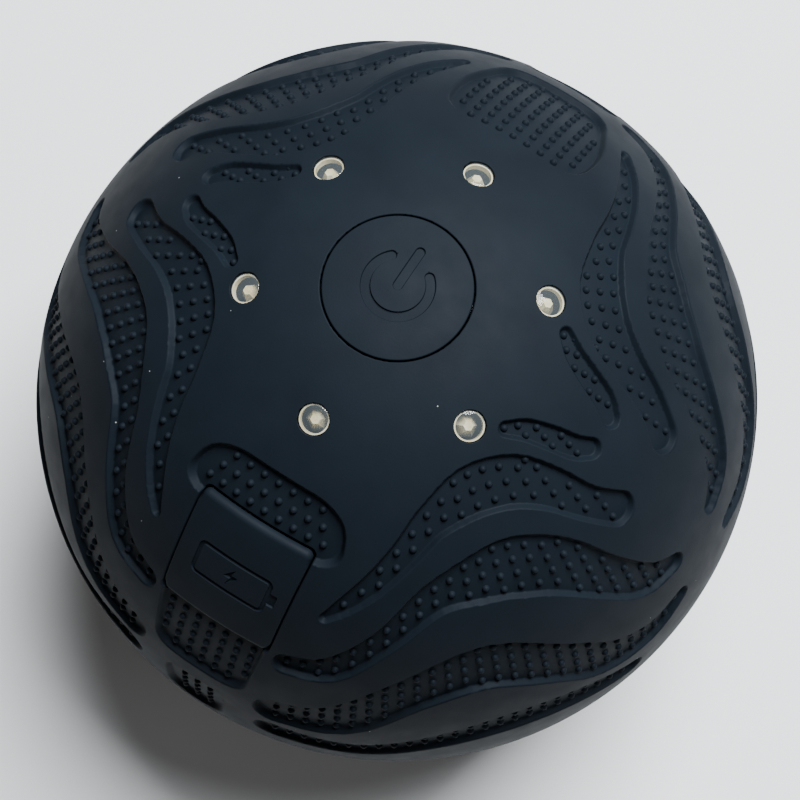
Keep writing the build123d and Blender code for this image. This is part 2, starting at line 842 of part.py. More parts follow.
with BuildPart() as weight_screws:
    for side in (-1, 1):
        middle = side * (weight_inner_face + weight_thickness / 2)
        add_column(middle, 0, 0, weight_hub_radius, grub_radius)
    add_bar(-shaft_half_length, shaft_half_length, shaft_radius, Mode.SUBTRACT)
save(weight_screws, "weight_screws")

# ---- what holds the motor --------------------------------------------------------------------
saddle_radius = can_radius + pad_thickness

with BuildPart() as motor_pads:
    for side in (-1, 1):
        low = side * pad_middle - pad_width / 2
        add_bar(low, low + pad_width, saddle_radius)
    add_bar(-can_half_length, can_half_length, can_radius, Mode.SUBTRACT)
save(motor_pads, "motor_pads")

with BuildPart() as motor_cradle:
    width = (-cradle_half_length, cradle_half_length)
    add_box(width, (-pedestal_half_width, pedestal_half_width), (cradle_foot, 0))
    add_box(width, (-cradle_half_width, cradle_half_width), (-cradle_shelf, 0))
    add_bar(*width, saddle_radius, Mode.SUBTRACT)
    window = (cradle_foot + cradle_base, window_top)
    add_box(width, (-window_half_width, window_half_width), window, Mode.SUBTRACT)
    for x in (-cradle_screw_x, cradle_screw_x):
        add_column(x, 0, cradle_foot, window[0], small_screw_radius + screw_clearance, Mode.SUBTRACT)
    for x, y in clamp_screw_places:
        add_column(x, y, clamp_screw_bottom, 0, small_screw_radius, Mode.SUBTRACT)
save(motor_cradle, "motor_cradle")

with BuildPart() as cradle_screws:
    for x in (-cradle_screw_x, cradle_screw_x):
        head = cradle_foot + cradle_base
        add_column(x, 0, head, head + screw_head_thickness, 2 * small_screw_radius)
        add_column(x, 0, cradle_screw_bottom, head, small_screw_radius)
save(cradle_screws, "cradle_screws")

with BuildPart() as motor_clamp:
    width = (-cradle_half_length, cradle_half_length)
    add_bar(*width, saddle_radius + clamp_thickness)
    add_box(width, (-ball_radius, ball_radius), (-ball_radius, 0), Mode.SUBTRACT)
    add_box(width, (-cradle_half_width, cradle_half_width), (0, clamp_ear))
    add_bar(*width, saddle_radius, Mode.SUBTRACT)
    for x, y in clamp_screw_places:
        add_column(x, y, 0, clamp_ear, small_screw_radius + screw_clearance, Mode.SUBTRACT)
save(motor_clamp, "motor_clamp")

with BuildPart() as clamp_screws:
    for x, y in clamp_screw_places:
        add_column(x, y, clamp_ear, clamp_ear + screw_head_thickness, 2 * small_screw_radius)
        add_column(x, y, clamp_screw_bottom, clamp_ear, small_screw_radius)
save(clamp_screws, "clamp_screws")

# ---- battery ---------------------------------------------------------------------------------
for side, name in ((-1, "battery_cell_front"), (1, "battery_cell_back")):
    with BuildPart() as battery_cell:
        with BuildSketch(Plane.YZ.offset(-cell_half_length)):
            with Locations((side * cell_side, cell_height)):
                Circle(cell_radius)
        extrude(amount=2 * cell_half_length)
    save(battery_cell, name)

with BuildPart() as battery_tabs:
    for side in (-1, 1):
        inner = side * cell_half_length
        outer = inner + side * tab_thickness
        reach = cell_side + tab_overlap
        z_range = (cell_height - tab_half_height, cell_height + tab_half_height)
        add_box(sorted((inner, outer)), (-reach, reach), z_range)
save(battery_tabs, "battery_tabs")

with BuildPart() as protection_board:
    face = cell_half_length + tab_thickness
    y_range = (-protection_half_length, protection_half_length)
    z_range = (cell_height - protection_half_height, cell_height + protection_half_height)
    add_box((face, face + small_board_thickness), y_range, z_range)
save(protection_board, "protection_board")

with BuildPart() as battery_tray:
    for side in (-1, 1):
        y_range = sorted((side * tray_inner, side * tray_outer))
        add_box((-tray_half_length, tray_half_length), y_range, (tray_bottom, tray_top))
    for side in (-1, 1):
        x_range = sorted((side * (cradle_half_length + tray_gap), side * tray_half_length))
        add_box(x_range, (-tray_inner, tray_inner), (tray_bottom, tray_bottom + tray_base))
        hole = small_screw_radius + screw_clearance
        add_column(side * tray_screw_x, 0, tray_bottom, tray_bottom + tray_base, hole, Mode.SUBTRACT)
    with BuildSketch(Plane.YZ.offset(-tray_half_length)):
        with Locations((-cell_side, cell_height), (cell_side, cell_height)):
            Circle(cell_radius)
    extrude(amount=2 * tray_half_length, mode=Mode.SUBTRACT)
save(battery_tray, "battery_tray")

with BuildPart() as tray_screws:
    for x in (-tray_screw_x, tray_screw_x):
        head = tray_bottom + tray_base
        add_column(x, 0, head, head + tray_screw_head, 2 * small_screw_radius)
        add_column(x, 0, tray_screw_bottom, head, small_screw_radius)
save(tray_screws, "tray_screws")


# ---- leads: pairs of wires that run between their terminals ------------------------------------
def lead_pair(route, spread, bends, name):
    """Two wires side by side along a route of straight runs joined by arcs."""
    with BuildPart() as leads:
        for side in (-1, 1):
            points = [Vector(*point) + Vector(*spread) * side for point in route]
            with BuildLine(mode=Mode.PRIVATE) as path:
                FilletPolyline(*points, radius=bends)
            start = Plane(origin=path.line @ 0, z_dir=path.line % 0)
            with BuildSketch(start, mode=Mode.PRIVATE) as section:
                Circle(lead_radius)
            sweep(section.sketch, path=path.line)
    save(leads, name)


charge_end = direction(0, port_polar) * charge_board_back
charge_end = charge_end - port_plane(1).y_dir * (socket_height / 2 + 0.6)
motor_route = [
    (can_half_length - can_wall / 2, 0, can_radius - 0.2),
    (can_half_length - can_wall / 2, 0, 25),
    (plug_places[0][0], 0, board_bottom - plug_height),
]
battery_route = [
    (cell_half_length + tab_thickness + 0.6, 9, cell_height + 5),
    (cell_half_length + 1.5, 22, -8),
    (cell_half_length + 0.5, 23, 10),
    (plug_places[1][0], plug_places[1][1], board_bottom - plug_height),
]
charge_route = [
    (0, charge_end.Y, charge_end.Z),
    (0, charge_end.Y + 5, charge_end.Z + 1),
    (0, plug_places[2][1], board_bottom - plug_height),
]
lead_pair(motor_route, (0, 3, 0), [6], "motor_leads")
lead_pair(battery_route, (0, 1.5, 0), [8, 12], "battery_leads")
lead_pair(charge_route, (1.5, 0, 0), [4], "charge_leads")
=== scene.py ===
"""Looks of the vibrating massage ball: the moulded silicone skin with its wavy recesses and nubs,
the power button, the charging flap, the light windows, and materials for everything inside.

Metres, in the frame of the CAD model: +Z through the power button, -Y through the charging flap.
A place on the ball is an azimuth, counted from -Y towards +X, and a polar angle, counted from +Z.
Shapes are worked out in millimetres on the unit sphere and written to the meshes in metres.
"""
import math

import bpy
import numpy as np
from mathutils import Matrix, Vector
from mathutils.geometry import delaunay_2d_cdt


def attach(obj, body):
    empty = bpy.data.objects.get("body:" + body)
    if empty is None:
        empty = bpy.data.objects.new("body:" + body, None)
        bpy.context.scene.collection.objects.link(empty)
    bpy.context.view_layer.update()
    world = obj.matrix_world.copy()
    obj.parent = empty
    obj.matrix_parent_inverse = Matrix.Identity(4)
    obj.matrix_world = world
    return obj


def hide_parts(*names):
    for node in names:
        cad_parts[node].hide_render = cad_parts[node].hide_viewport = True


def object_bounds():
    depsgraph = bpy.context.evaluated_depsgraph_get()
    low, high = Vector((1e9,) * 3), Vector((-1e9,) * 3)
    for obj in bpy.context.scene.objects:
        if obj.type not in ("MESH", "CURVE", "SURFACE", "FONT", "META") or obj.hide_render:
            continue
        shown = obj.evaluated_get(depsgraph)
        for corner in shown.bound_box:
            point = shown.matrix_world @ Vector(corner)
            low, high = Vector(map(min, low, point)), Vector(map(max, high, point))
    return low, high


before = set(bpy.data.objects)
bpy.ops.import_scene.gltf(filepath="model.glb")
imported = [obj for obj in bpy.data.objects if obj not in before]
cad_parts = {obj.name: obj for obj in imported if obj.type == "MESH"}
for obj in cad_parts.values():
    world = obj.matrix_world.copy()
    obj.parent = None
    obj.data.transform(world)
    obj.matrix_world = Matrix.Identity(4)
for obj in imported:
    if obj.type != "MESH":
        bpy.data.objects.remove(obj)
cad_low, cad_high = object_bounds()

MM = 0.001

# ---- driving dimensions, in millimetres, with polar angles in degrees ----
BALL_RADIUS = (cad_high.x - cad_low.x) / 2 / MM
SKIN_THICKNESS = 3.0
SKIN_INNER_RADIUS = BALL_RADIUS - SKIN_THICKNESS
DEGREE = BALL_RADIUS * math.pi / 180

RECESS_DEPTH = 1.1
WALL_WIDTH = 0.85
NUB_RADIUS = 0.62
NUB_HEIGHT = 0.62
NUB_ROOT = 0.15
NUB_MARGIN = 1.3
SHORT_MARGIN = 1.0

SEAM_EDGE = 0.2

BUTTON_RADIUS = 10.95
BUTTON_OPENING = 11.17
BUTTON_EDGE = 0.2
BUTTON_BOTTOM = 58.4
SYMBOL_DEPTH = 0.4
SYMBOL_WALL = 0.18
POWER_RING_RADIUS = 4.7
POWER_STROKE = 1.6
POWER_BAR_REACH = 6.0
POWER_GAP = 2.4

LIGHT_COUNT = 6
LIGHT_POLAR = 20.84
LIGHT_OPENING = 2.35
LIGHT_EDGE = 0.12
LIGHT_RADIUS = 2.3
LIGHT_DOME = 0.35
DOME_INSET = 0.02
LIGHT_STEM = 1.9
LIGHT_FOOT = 44.8
COLLAR_RADIUS = 3.2
COLLAR_LOW = 54.0
COLLAR_HIGH = 55.4
CORE_LOW = 57.2
CORE_STRAIGHT = 1.6
CORE_HIGH = 61.3
CORE_RADIUS = 2.05
CORE_TIP = 0.75
# The ring under each light's dome is a painted highlight: a thin cream ring that stands in for the
# dome's bright rim.
HIGHLIGHT_RING_INSET = 0.05
HIGHLIGHT_RING_WIDTH = 0.22
HIGHLIGHT_RING_LOW = 61.0
HIGHLIGHT_RING_HIGH = 61.9

PORT_POLAR = 47.2
FLAP_WIDTH = 19.2
FLAP_THICKNESS = 2.2
FLAP_FREE_POLAR = 37.3
FLAP_HINGE_POLAR = 55.9
FLAP_GAP = 0.2
FLAP_CORNER = 1.2
FLAP_EDGE = 0.3
RIB_PLACE = 5.8
RIB_WIDTH = 1.2
RIB_LENGTH = 6.0
RIB_FOOT = 58.0
MARK_WIDTH = 13.0
MARK_HEIGHT = 6.6
MARK_STROKE = 0.8
MARK_CORNER = 1.2
TERMINAL_WIDTH = 1.4
TERMINAL_HEIGHT = 2.4
BOLT_MARK = [(0.6, 1.9), (-1.3, -0.4), (-0.1, -0.4), (-0.6, -1.9), (1.3, 0.4), (0.1, 0.4)]

# ---- spacing of the nubs, in degrees of arc ----
NUB_PITCH = 2.3
SHORT_PITCH = 1.75
NUB_REACH = 5.5
TRY_STEP = 0.1
TRY_COUNT = 70

# ---- finishes: sizes in millimetres, and colours ----
LINT_SPACING = 6.5
LINT_RADIUS = 0.13
LINT_COLOUR = (0.3, 0.31, 0.3)
SHEET_PITCH = 0.5
TRACK_PITCH = 9.0
PAD_PITCH = 2.6
PAD_COLOUR = (0.7, 0.68, 0.62)
SILICONE = (0.0052, 0.0079, 0.0116)
BRUSHED = (1, 14, 14)

# ---- camera: distance in metres, roll in degrees, lens and sensor in millimetres ----
CAMERA_DIRECTION = (0.13955, -0.22260, 0.96487)
CAMERA_DISTANCE = 0.3054
CAMERA_ROLL = 0.4985
CAMERA_LENS = 77.623
CAMERA_SENSOR = 36.0
CAMERA_SHIFT = (0.0039, 0.0004)

# ---- lamps and floor: directions from the ball's centre, metres and watts ----
LAMPS = [
    dict(name="key", towards=(0.07, 0.38, 0.92), distance=0.75, size=0.4, power=21.0,
         colour=(0.93, 0.97, 1.0)),
    dict(name="fill", towards=(-0.2, -0.9, 0.25), distance=0.9, size=0.5, power=0.2,
         colour=(1.0, 0.86, 0.72)),
    dict(name="window", towards=(0.9, 0.35, 0.3), distance=0.9, size=0.3, power=0.7,
         colour=(0.95, 0.97, 1.0)),
]
FLOOR_SIZE = 6.0
FLOOR_COLOUR = (0.84, 0.84, 0.84)
WORLD_COLOUR = (1.0, 1.0, 1.0)
WORLD_STRENGTH = 0.08

# ---- mesh fineness: edges and spacing in millimetres, then shares and counts ----
COARSE_EDGE = 2.2
FINE_EDGE = 0.75
MARK_EDGE = 0.28
INNER_SPACING = 4.5
SLOPE_STEP = 0.02
NEAR_SHARE = 0.5
SNAP_SHARE = 0.22
LEAST_SHARE = 0.02
SEAM_HEIGHT = 1e-6
EDGE_SHARES = (0.0, 0.35, 1.0)
WALL_STEPS = 3
SPINE_STEPS = 4
ROW_STEPS = 12
NUB_SIDES = 12
NUB_RINGS = 4
ROUND_SIDES = 48
CORE_SIDES = 6
DOME_RINGS = 8
PLACES_AT_ONCE = 8192

# ---- recess spines in one quarter of one half: (azimuth, polar, half-width) in degrees ----
SHORT_WAVE = [
    (70.5, 23.7, 1.3),
    (75.8, 25.7, 1.7),
    (80.0, 29.1, 1.9),
    (82.8, 32.4, 1.9),
    (85.6, 34.5, 1.7),
]
FIRST_WAVE = [
    (19.0, 47.5, 1.0),
    (24.1, 43.6, 1.8),
    (35.9, 34.9, 2.4),
    (42.3, 31.4, 2.9),
    (53.1, 29.1, 3.9),
    (64.0, 30.2, 3.9),
    (71.6, 34.2, 3.2),
    (76.8, 39.8, 2.7),
    (81.3, 44.3, 2.8),
]
SECOND_WAVE = [
    (14.0, 58.3, 2.2),
    (21.1, 57.1, 2.5),
    (29.8, 50.6, 2.2),
    (40.0, 43.3, 2.9),
    (52.8, 41.5, 4.7),
    (59.6, 42.7, 5.0),
    (65.9, 45.9, 4.5),
    (71.9, 51.8, 3.6),
    (78.5, 59.2, 3.0),
    (84.0, 61.8, 2.0),
]
THIRD_WAVE = [
    (13.5, 72.3, 3.6),
    (22.8, 70.3, 4.2),
    (34.4, 61.7, 3.9),
    (47.4, 57.7, 4.8),
    (59.4, 63.2, 4.2),
    (67.5, 69.5, 4.0),
    (75.5, 72.2, 3.2),
    (82.5, 71.0, 2.0),
]
FOURTH_WAVE = [
    (13.5, 80.6, 3.4),
    (26.0, 81.3, 3.0),
    (38.0, 77.3, 3.0),
    (49.0, 75.0, 3.5),
    (60.0, 76.2, 3.2),
    (71.0, 80.2, 2.4),
]
WAVES = [SHORT_WAVE, FIRST_WAVE, SECOND_WAVE, THIRD_WAVE, FOURTH_WAVE]

# ---- recesses across the middle lines: one side's corners, (arc across, polar) in degrees ----
FINGER_NOTCH = [(9.6, 29.2), (13.2, 34.2), (12.7, 38.7)]
GRIP_PATCH = [(10.3, 30.0), (12.9, 37.0), (8.3, 52.5)]
FLAP_PANEL = [(8.9, 54.4), (7.9, 70.2)]
UPPER_PANEL = [(8.4, 57.4), (7.9, 70.2)]
LOWER_PANEL = [(5.6, 73.8), (5.0, 86.6)]

# How far the corners of those recesses are rounded, in millimetres.
CORNER_BLEND = 4.2


# ======== places and distances ========
def direction(azimuth, polar):
    """Unit vector from the ball's centre to a place on it."""
    a = math.radians(azimuth)
    p = math.radians(polar)
    return np.array([math.sin(p) * math.sin(a), -math.sin(p) * math.cos(a), math.cos(p)])


def unit(vectors):
    """The same directions at length one."""
    return vectors / np.linalg.norm(vectors, axis=-1, keepdims=True)


def smooth_line(points, steps):
    """A Catmull-Rom curve through rows of numbers, with steps points on each stretch."""
    rows = np.array(points, float)
    padded = np.vstack([2 * rows[0] - rows[1], rows, 2 * rows[-1] - rows[-2]])
    curve = []
    for i in range(1, len(padded) - 2):
        before, start, end, after = padded[i - 1 : i + 3]
        for t in np.arange(steps) / steps:
            slope_in = (end - before) / 2
            slope_out = (after - start) / 2
            curve.append(
                (2 * t**3 - 3 * t**2 + 1) * start
                + (t**3 - 2 * t**2 + t) * slope_in
                + (3 * t**2 - 2 * t**3) * end
                + (t**3 - t**2) * slope_out
            )
    return np.array(curve + [rows[-1]])


def spine_segments():
    """Start, end and end radii of the short straight pieces that make up every wave's spine."""
    starts, ends, radii = [], [], []
    for wave in WAVES:
        curve = smooth_line(wave, SPINE_STEPS)
        places = BALL_RADIUS * np.array([direction(azimuth, polar) for azimuth, polar, _ in curve])
        starts.append(places[:-1])
        ends.append(places[1:])
        widths = curve[:, 2] * DEGREE
        radii.append(np.stack([widths[:-1], widths[1:]], 1))
    return np.vstack(starts), np.vstack(ends), np.vstack(radii)


SPINE_START, SPINE_END, SPINE_RADII = spine_segments()
SPINE_STEP = SPINE_END - SPINE_START
SPINE_STEP_SQUARED = (SPINE_STEP**2).sum(1)


def wave_distance(places):
    """Millimetres from each place to the nearest wave's edge, negative inside it."""
    folded = np.abs(places) * np.array([1, -1, 1]) * BALL_RADIUS
    nearest = np.empty(len(places))
    for first in range(0, len(places), PLACES_AT_ONCE):
        part = folded[first : first + PLACES_AT_ONCE]
        along = part @ SPINE_STEP.T - (SPINE_START * SPINE_STEP).sum(1)
        share = np.clip(along / SPINE_STEP_SQUARED, 0, 1)
        to_start = (
            (part**2).sum(1)[:, None] - 2 * part @ SPINE_START.T + (SPINE_START**2).sum(1)
        )
        squared = to_start - 2 * share * along + share**2 * SPINE_STEP_SQUARED
        radius = SPINE_RADII[:, 0] + share * (SPINE_RADII[:, 1] - SPINE_RADII[:, 0])
        nearest[first : first + len(part)] = (np.sqrt(np.maximum(squared, 0)) - radius).min(1)
    return nearest


def smooth_max(a, b, blend):
    """The larger of two distances, rounded where they are about the same."""
    overlap = np.maximum(blend - np.abs(a - b), 0) / blend
    return np.maximum(a, b) + overlap**2 * blend / 4


def panel_distance(across, polar, corners):
    """Millimetres to the edge of a recess that lies evenly either side of a middle line."""
    side = np.abs(across)
    outline = [(0, corners[0][1])] + corners + [(0, corners[-1][1])]
    distance = None
    for (x0, y0), (x1, y1) in zip(outline[:-1], outline[1:]):
        length = math.hypot(x1 - x0, y1 - y0)
        outward = ((y1 - y0) / length, (x0 - x1) / length)
        edge = ((side - x0) * outward[0] + (polar - y0) * outward[1]) * DEGREE
        distance = edge if distance is None else smooth_max(distance, edge, CORNER_BLEND)
    return distance


def recess_distance(places):
    """Millimetres to the edge of the nearest recess, negative inside it."""
    across = np.degrees(np.arcsin(np.clip(places[:, 0], -1, 1)))
    polar = np.degrees(np.arctan2(np.abs(places[:, 1]), np.abs(places[:, 2])))
    flap_side = (places[:, 1] < 0) & (places[:, 2] > 0)
    nearest = np.minimum(wave_distance(places), panel_distance(across, polar, LOWER_PANEL))
    for by_the_flap, elsewhere in ((FINGER_NOTCH, GRIP_PATCH), (FLAP_PANEL, UPPER_PANEL)):
        edge = np.where(
            flap_side,
            panel_distance(across, polar, by_the_flap),
            panel_distance(across, polar, elsewhere),
        )
        nearest = np.minimum(nearest, edge)
    return nearest


# ---- the charging port's own directions ----
PORT_AXIS = direction(0, PORT_POLAR)
PORT_UP = np.array([0, PORT_AXIS[2], -PORT_AXIS[1]])
PORT_SIDE = np.array([1.0, 0.0, 0.0])
FLAP_TOP = BALL_RADIUS * math.sin(math.radians(PORT_POLAR - FLAP_FREE_POLAR))
HINGE_RADIUS = BALL_RADIUS - FLAP_THICKNESS / 2
HINGE_DROP = HINGE_RADIUS * math.sin(math.radians(PORT_POLAR - FLAP_HINGE_POLAR))
FLAP_LOW = HINGE_DROP - FLAP_THICKNESS / 2


def rounded_box_distance(x, y, half_width, low, high, corner):
    """Millimetres to the edge of a rectangle with round corners, in its own plane."""
    dx = np.abs(x) - half_width + corner
    dy = np.abs(y - (low + high) / 2) - (high - low) / 2 + corner
    outside = np.hypot(np.maximum(dx, 0), np.maximum(dy, 0))
    return outside + np.minimum(np.maximum(dx, dy), 0) - corner


def port_coordinates(places):
    """How far each place lies across the port's axis and above it, in millimetres."""
    return places[:, 0] * BALL_RADIUS, places @ PORT_UP * BALL_RADIUS


def pocket_distance(places):
    """Millimetres to the edge of the flap's pocket, negative inside it."""
    x, y = port_coordinates(places)
    edge = rounded_box_distance(
        x, y, FLAP_WIDTH / 2 + FLAP_GAP, FLAP_LOW - FLAP_GAP, FLAP_TOP + FLAP_GAP, FLAP_CORNER
    )
    return np.where(places @ PORT_AXIS > 0, edge, BALL_RADIUS)


def round_hole_distance(places, axis, radius):
    """Millimetres to the edge of a round hole along an axis through the ball's centre."""
    off_axis = np.linalg.norm(np.cross(places, axis), axis=1) * BALL_RADIUS
    return np.where(places @ axis > 0, off_axis - radius, BALL_RADIUS)


POLE = np.array([0.0, 0.0, 1.0])
LIGHT_AXES = [direction(turn * 360 / LIGHT_COUNT, LIGHT_POLAR) for turn in range(LIGHT_COUNT)]


def openings_distances(places):
    """Each opening's distance at each place: the flap's pocket, the button's hole, the lights."""
    distances = [pocket_distance(places), round_hole_distance(places, POLE, BUTTON_OPENING)]
    distances += [round_hole_distance(places, axis, LIGHT_OPENING) for axis in LIGHT_AXES]
    return np.array(distances)


OPENING_AXES = np.array([PORT_AXIS, POLE] + LIGHT_AXES)
OPENING_EDGES = np.array([FLAP_EDGE, BUTTON_EDGE] + [LIGHT_EDGE] * LIGHT_COUNT)


def opening_distance(places):
    """Millimetres to the edge of the nearest opening in the upper skin."""
    return openings_distances(places).min(0)


def upper_edge(places):
    """Millimetres to the nearest opening or to the seam, in the upper half."""
    return np.minimum(opening_distance(places), places[:, 2] * BALL_RADIUS)


def upper_rounding(places):
    """How far the nearest edge of the upper skin rounds over."""
    distances = openings_distances(places)
    rounding = OPENING_EDGES[distances.argmin(0)]
    return np.where(places[:, 2] * BALL_RADIUS < distances.min(0), SEAM_EDGE, rounding)


def lower_edge(places):
    """Millimetres to the seam, in the lower half."""
    return -places[:, 2] * BALL_RADIUS


def even_rounding(radius):
    """A rounding of the same radius all along an edge."""
    return lambda places: np.full(len(places), radius)


# ---- the button's and the flap's outlines and marks ----
def button_edge(places):
    """Millimetres inwards from the button's outline."""
    return -round_hole_distance(places, POLE, BUTTON_RADIUS)


def power_mark(places):
    """Millimetres to the edge of the power mark: a ring open at the top, with a bar in the gap."""
    x, y = places[:, 0] * BALL_RADIUS, places[:, 1] * BALL_RADIUS
    end_x = POWER_GAP + POWER_STROKE / 2
    end_y = math.sqrt(POWER_RING_RADIUS**2 - end_x**2)
    ring = np.abs(np.hypot(x, y) - POWER_RING_RADIUS)
    in_gap = (y > 0) & (np.abs(x) * end_y < y * end_x)
    ring = np.where(in_gap, np.hypot(np.abs(x) - end_x, y - end_y), ring)
    bar = np.hypot(x, y - np.clip(y, 0, POWER_BAR_REACH))
    return np.minimum(ring, bar) - POWER_STROKE / 2


def flap_edge(places):
    """Millimetres inwards from the flap's outline."""
    x, y = port_coordinates(places)
    edge = rounded_box_distance(x, y, FLAP_WIDTH / 2, FLAP_LOW, FLAP_TOP, FLAP_CORNER)
    return np.where(places @ PORT_AXIS > 0, -edge, -BALL_RADIUS)


def flap_rounding(places):
    """How far the flap's edge rounds over: fully at the hinge's barrel and at the free end."""
    _, y = port_coordinates(places)
    from_end = np.minimum(y - FLAP_LOW, FLAP_TOP - y)
    near_end = np.clip(2 * (1 - from_end / FLAP_THICKNESS), 0, 1)
    return FLAP_EDGE + (FLAP_THICKNESS / 2 - FLAP_EDGE) * near_end


def polygon_distance(x, y, corners):
    """Millimetres to a closed outline of straight edges, negative inside it."""
    nearest = np.full(len(x), np.inf)
    inside = np.zeros(len(x), bool)
    for (x0, y0), (x1, y1) in zip(corners, corners[1:] + corners[:1]):
        dx, dy = x1 - x0, y1 - y0
        share = np.clip(((x - x0) * dx + (y - y0) * dy) / (dx * dx + dy * dy), 0, 1)
        nearest = np.minimum(nearest, np.hypot(x - x0 - share * dx, y - y0 - share * dy))
        spans = (y0 > y) != (y1 > y)
        inside ^= spans & (x < x0 + (y - y0) * dx / (dy if dy else 1))
    return np.where(inside, -nearest, nearest)


def charge_mark(places):
    """Millimetres to the edge of the charging mark: a battery's outline with a bolt in it."""
    x, y = port_coordinates(places)
    half_width, half_height = MARK_WIDTH / 2, MARK_HEIGHT / 2
    middle = rounded_box_distance(
        x, y, half_width - MARK_STROKE / 2, MARK_STROKE / 2 - half_height,
        half_height - MARK_STROKE / 2, MARK_CORNER - MARK_STROKE / 2,
    )
    outline = np.abs(middle) - MARK_STROKE / 2
    beside = x - half_width - TERMINAL_WIDTH / 2 + MARK_STROKE / 4
    high = TERMINAL_HEIGHT / 2
    terminal = rounded_box_distance(beside, y, TERMINAL_WIDTH / 2, -high, high, MARK_STROKE / 4)
    bolt = polygon_distance(x, y, BOLT_MARK)
    return np.minimum(np.minimum(outline, terminal), bolt)


# ======== a fine mesh that follows edges ========
def octant_sphere(keep):
    """Directions and triangles of an eight-faced ball, for the octants whose signs keep accepts."""
    corners = np.array(
        [[1, 0, 0], [-1, 0, 0], [0, 1, 0], [0, -1, 0], [0, 0, 1], [0, 0, -1]], float
    )
    triangles = []
    for x in (0, 1):
        for y in (2, 3):
            for z in (4, 5):
                signs = corners[x] + corners[y] + corners[z]
                if keep(signs):
                    right_handed = signs.prod() > 0
                    triangles.append([x, y, z] if right_handed else [y, x, z])
    return corners, np.array(triangles)


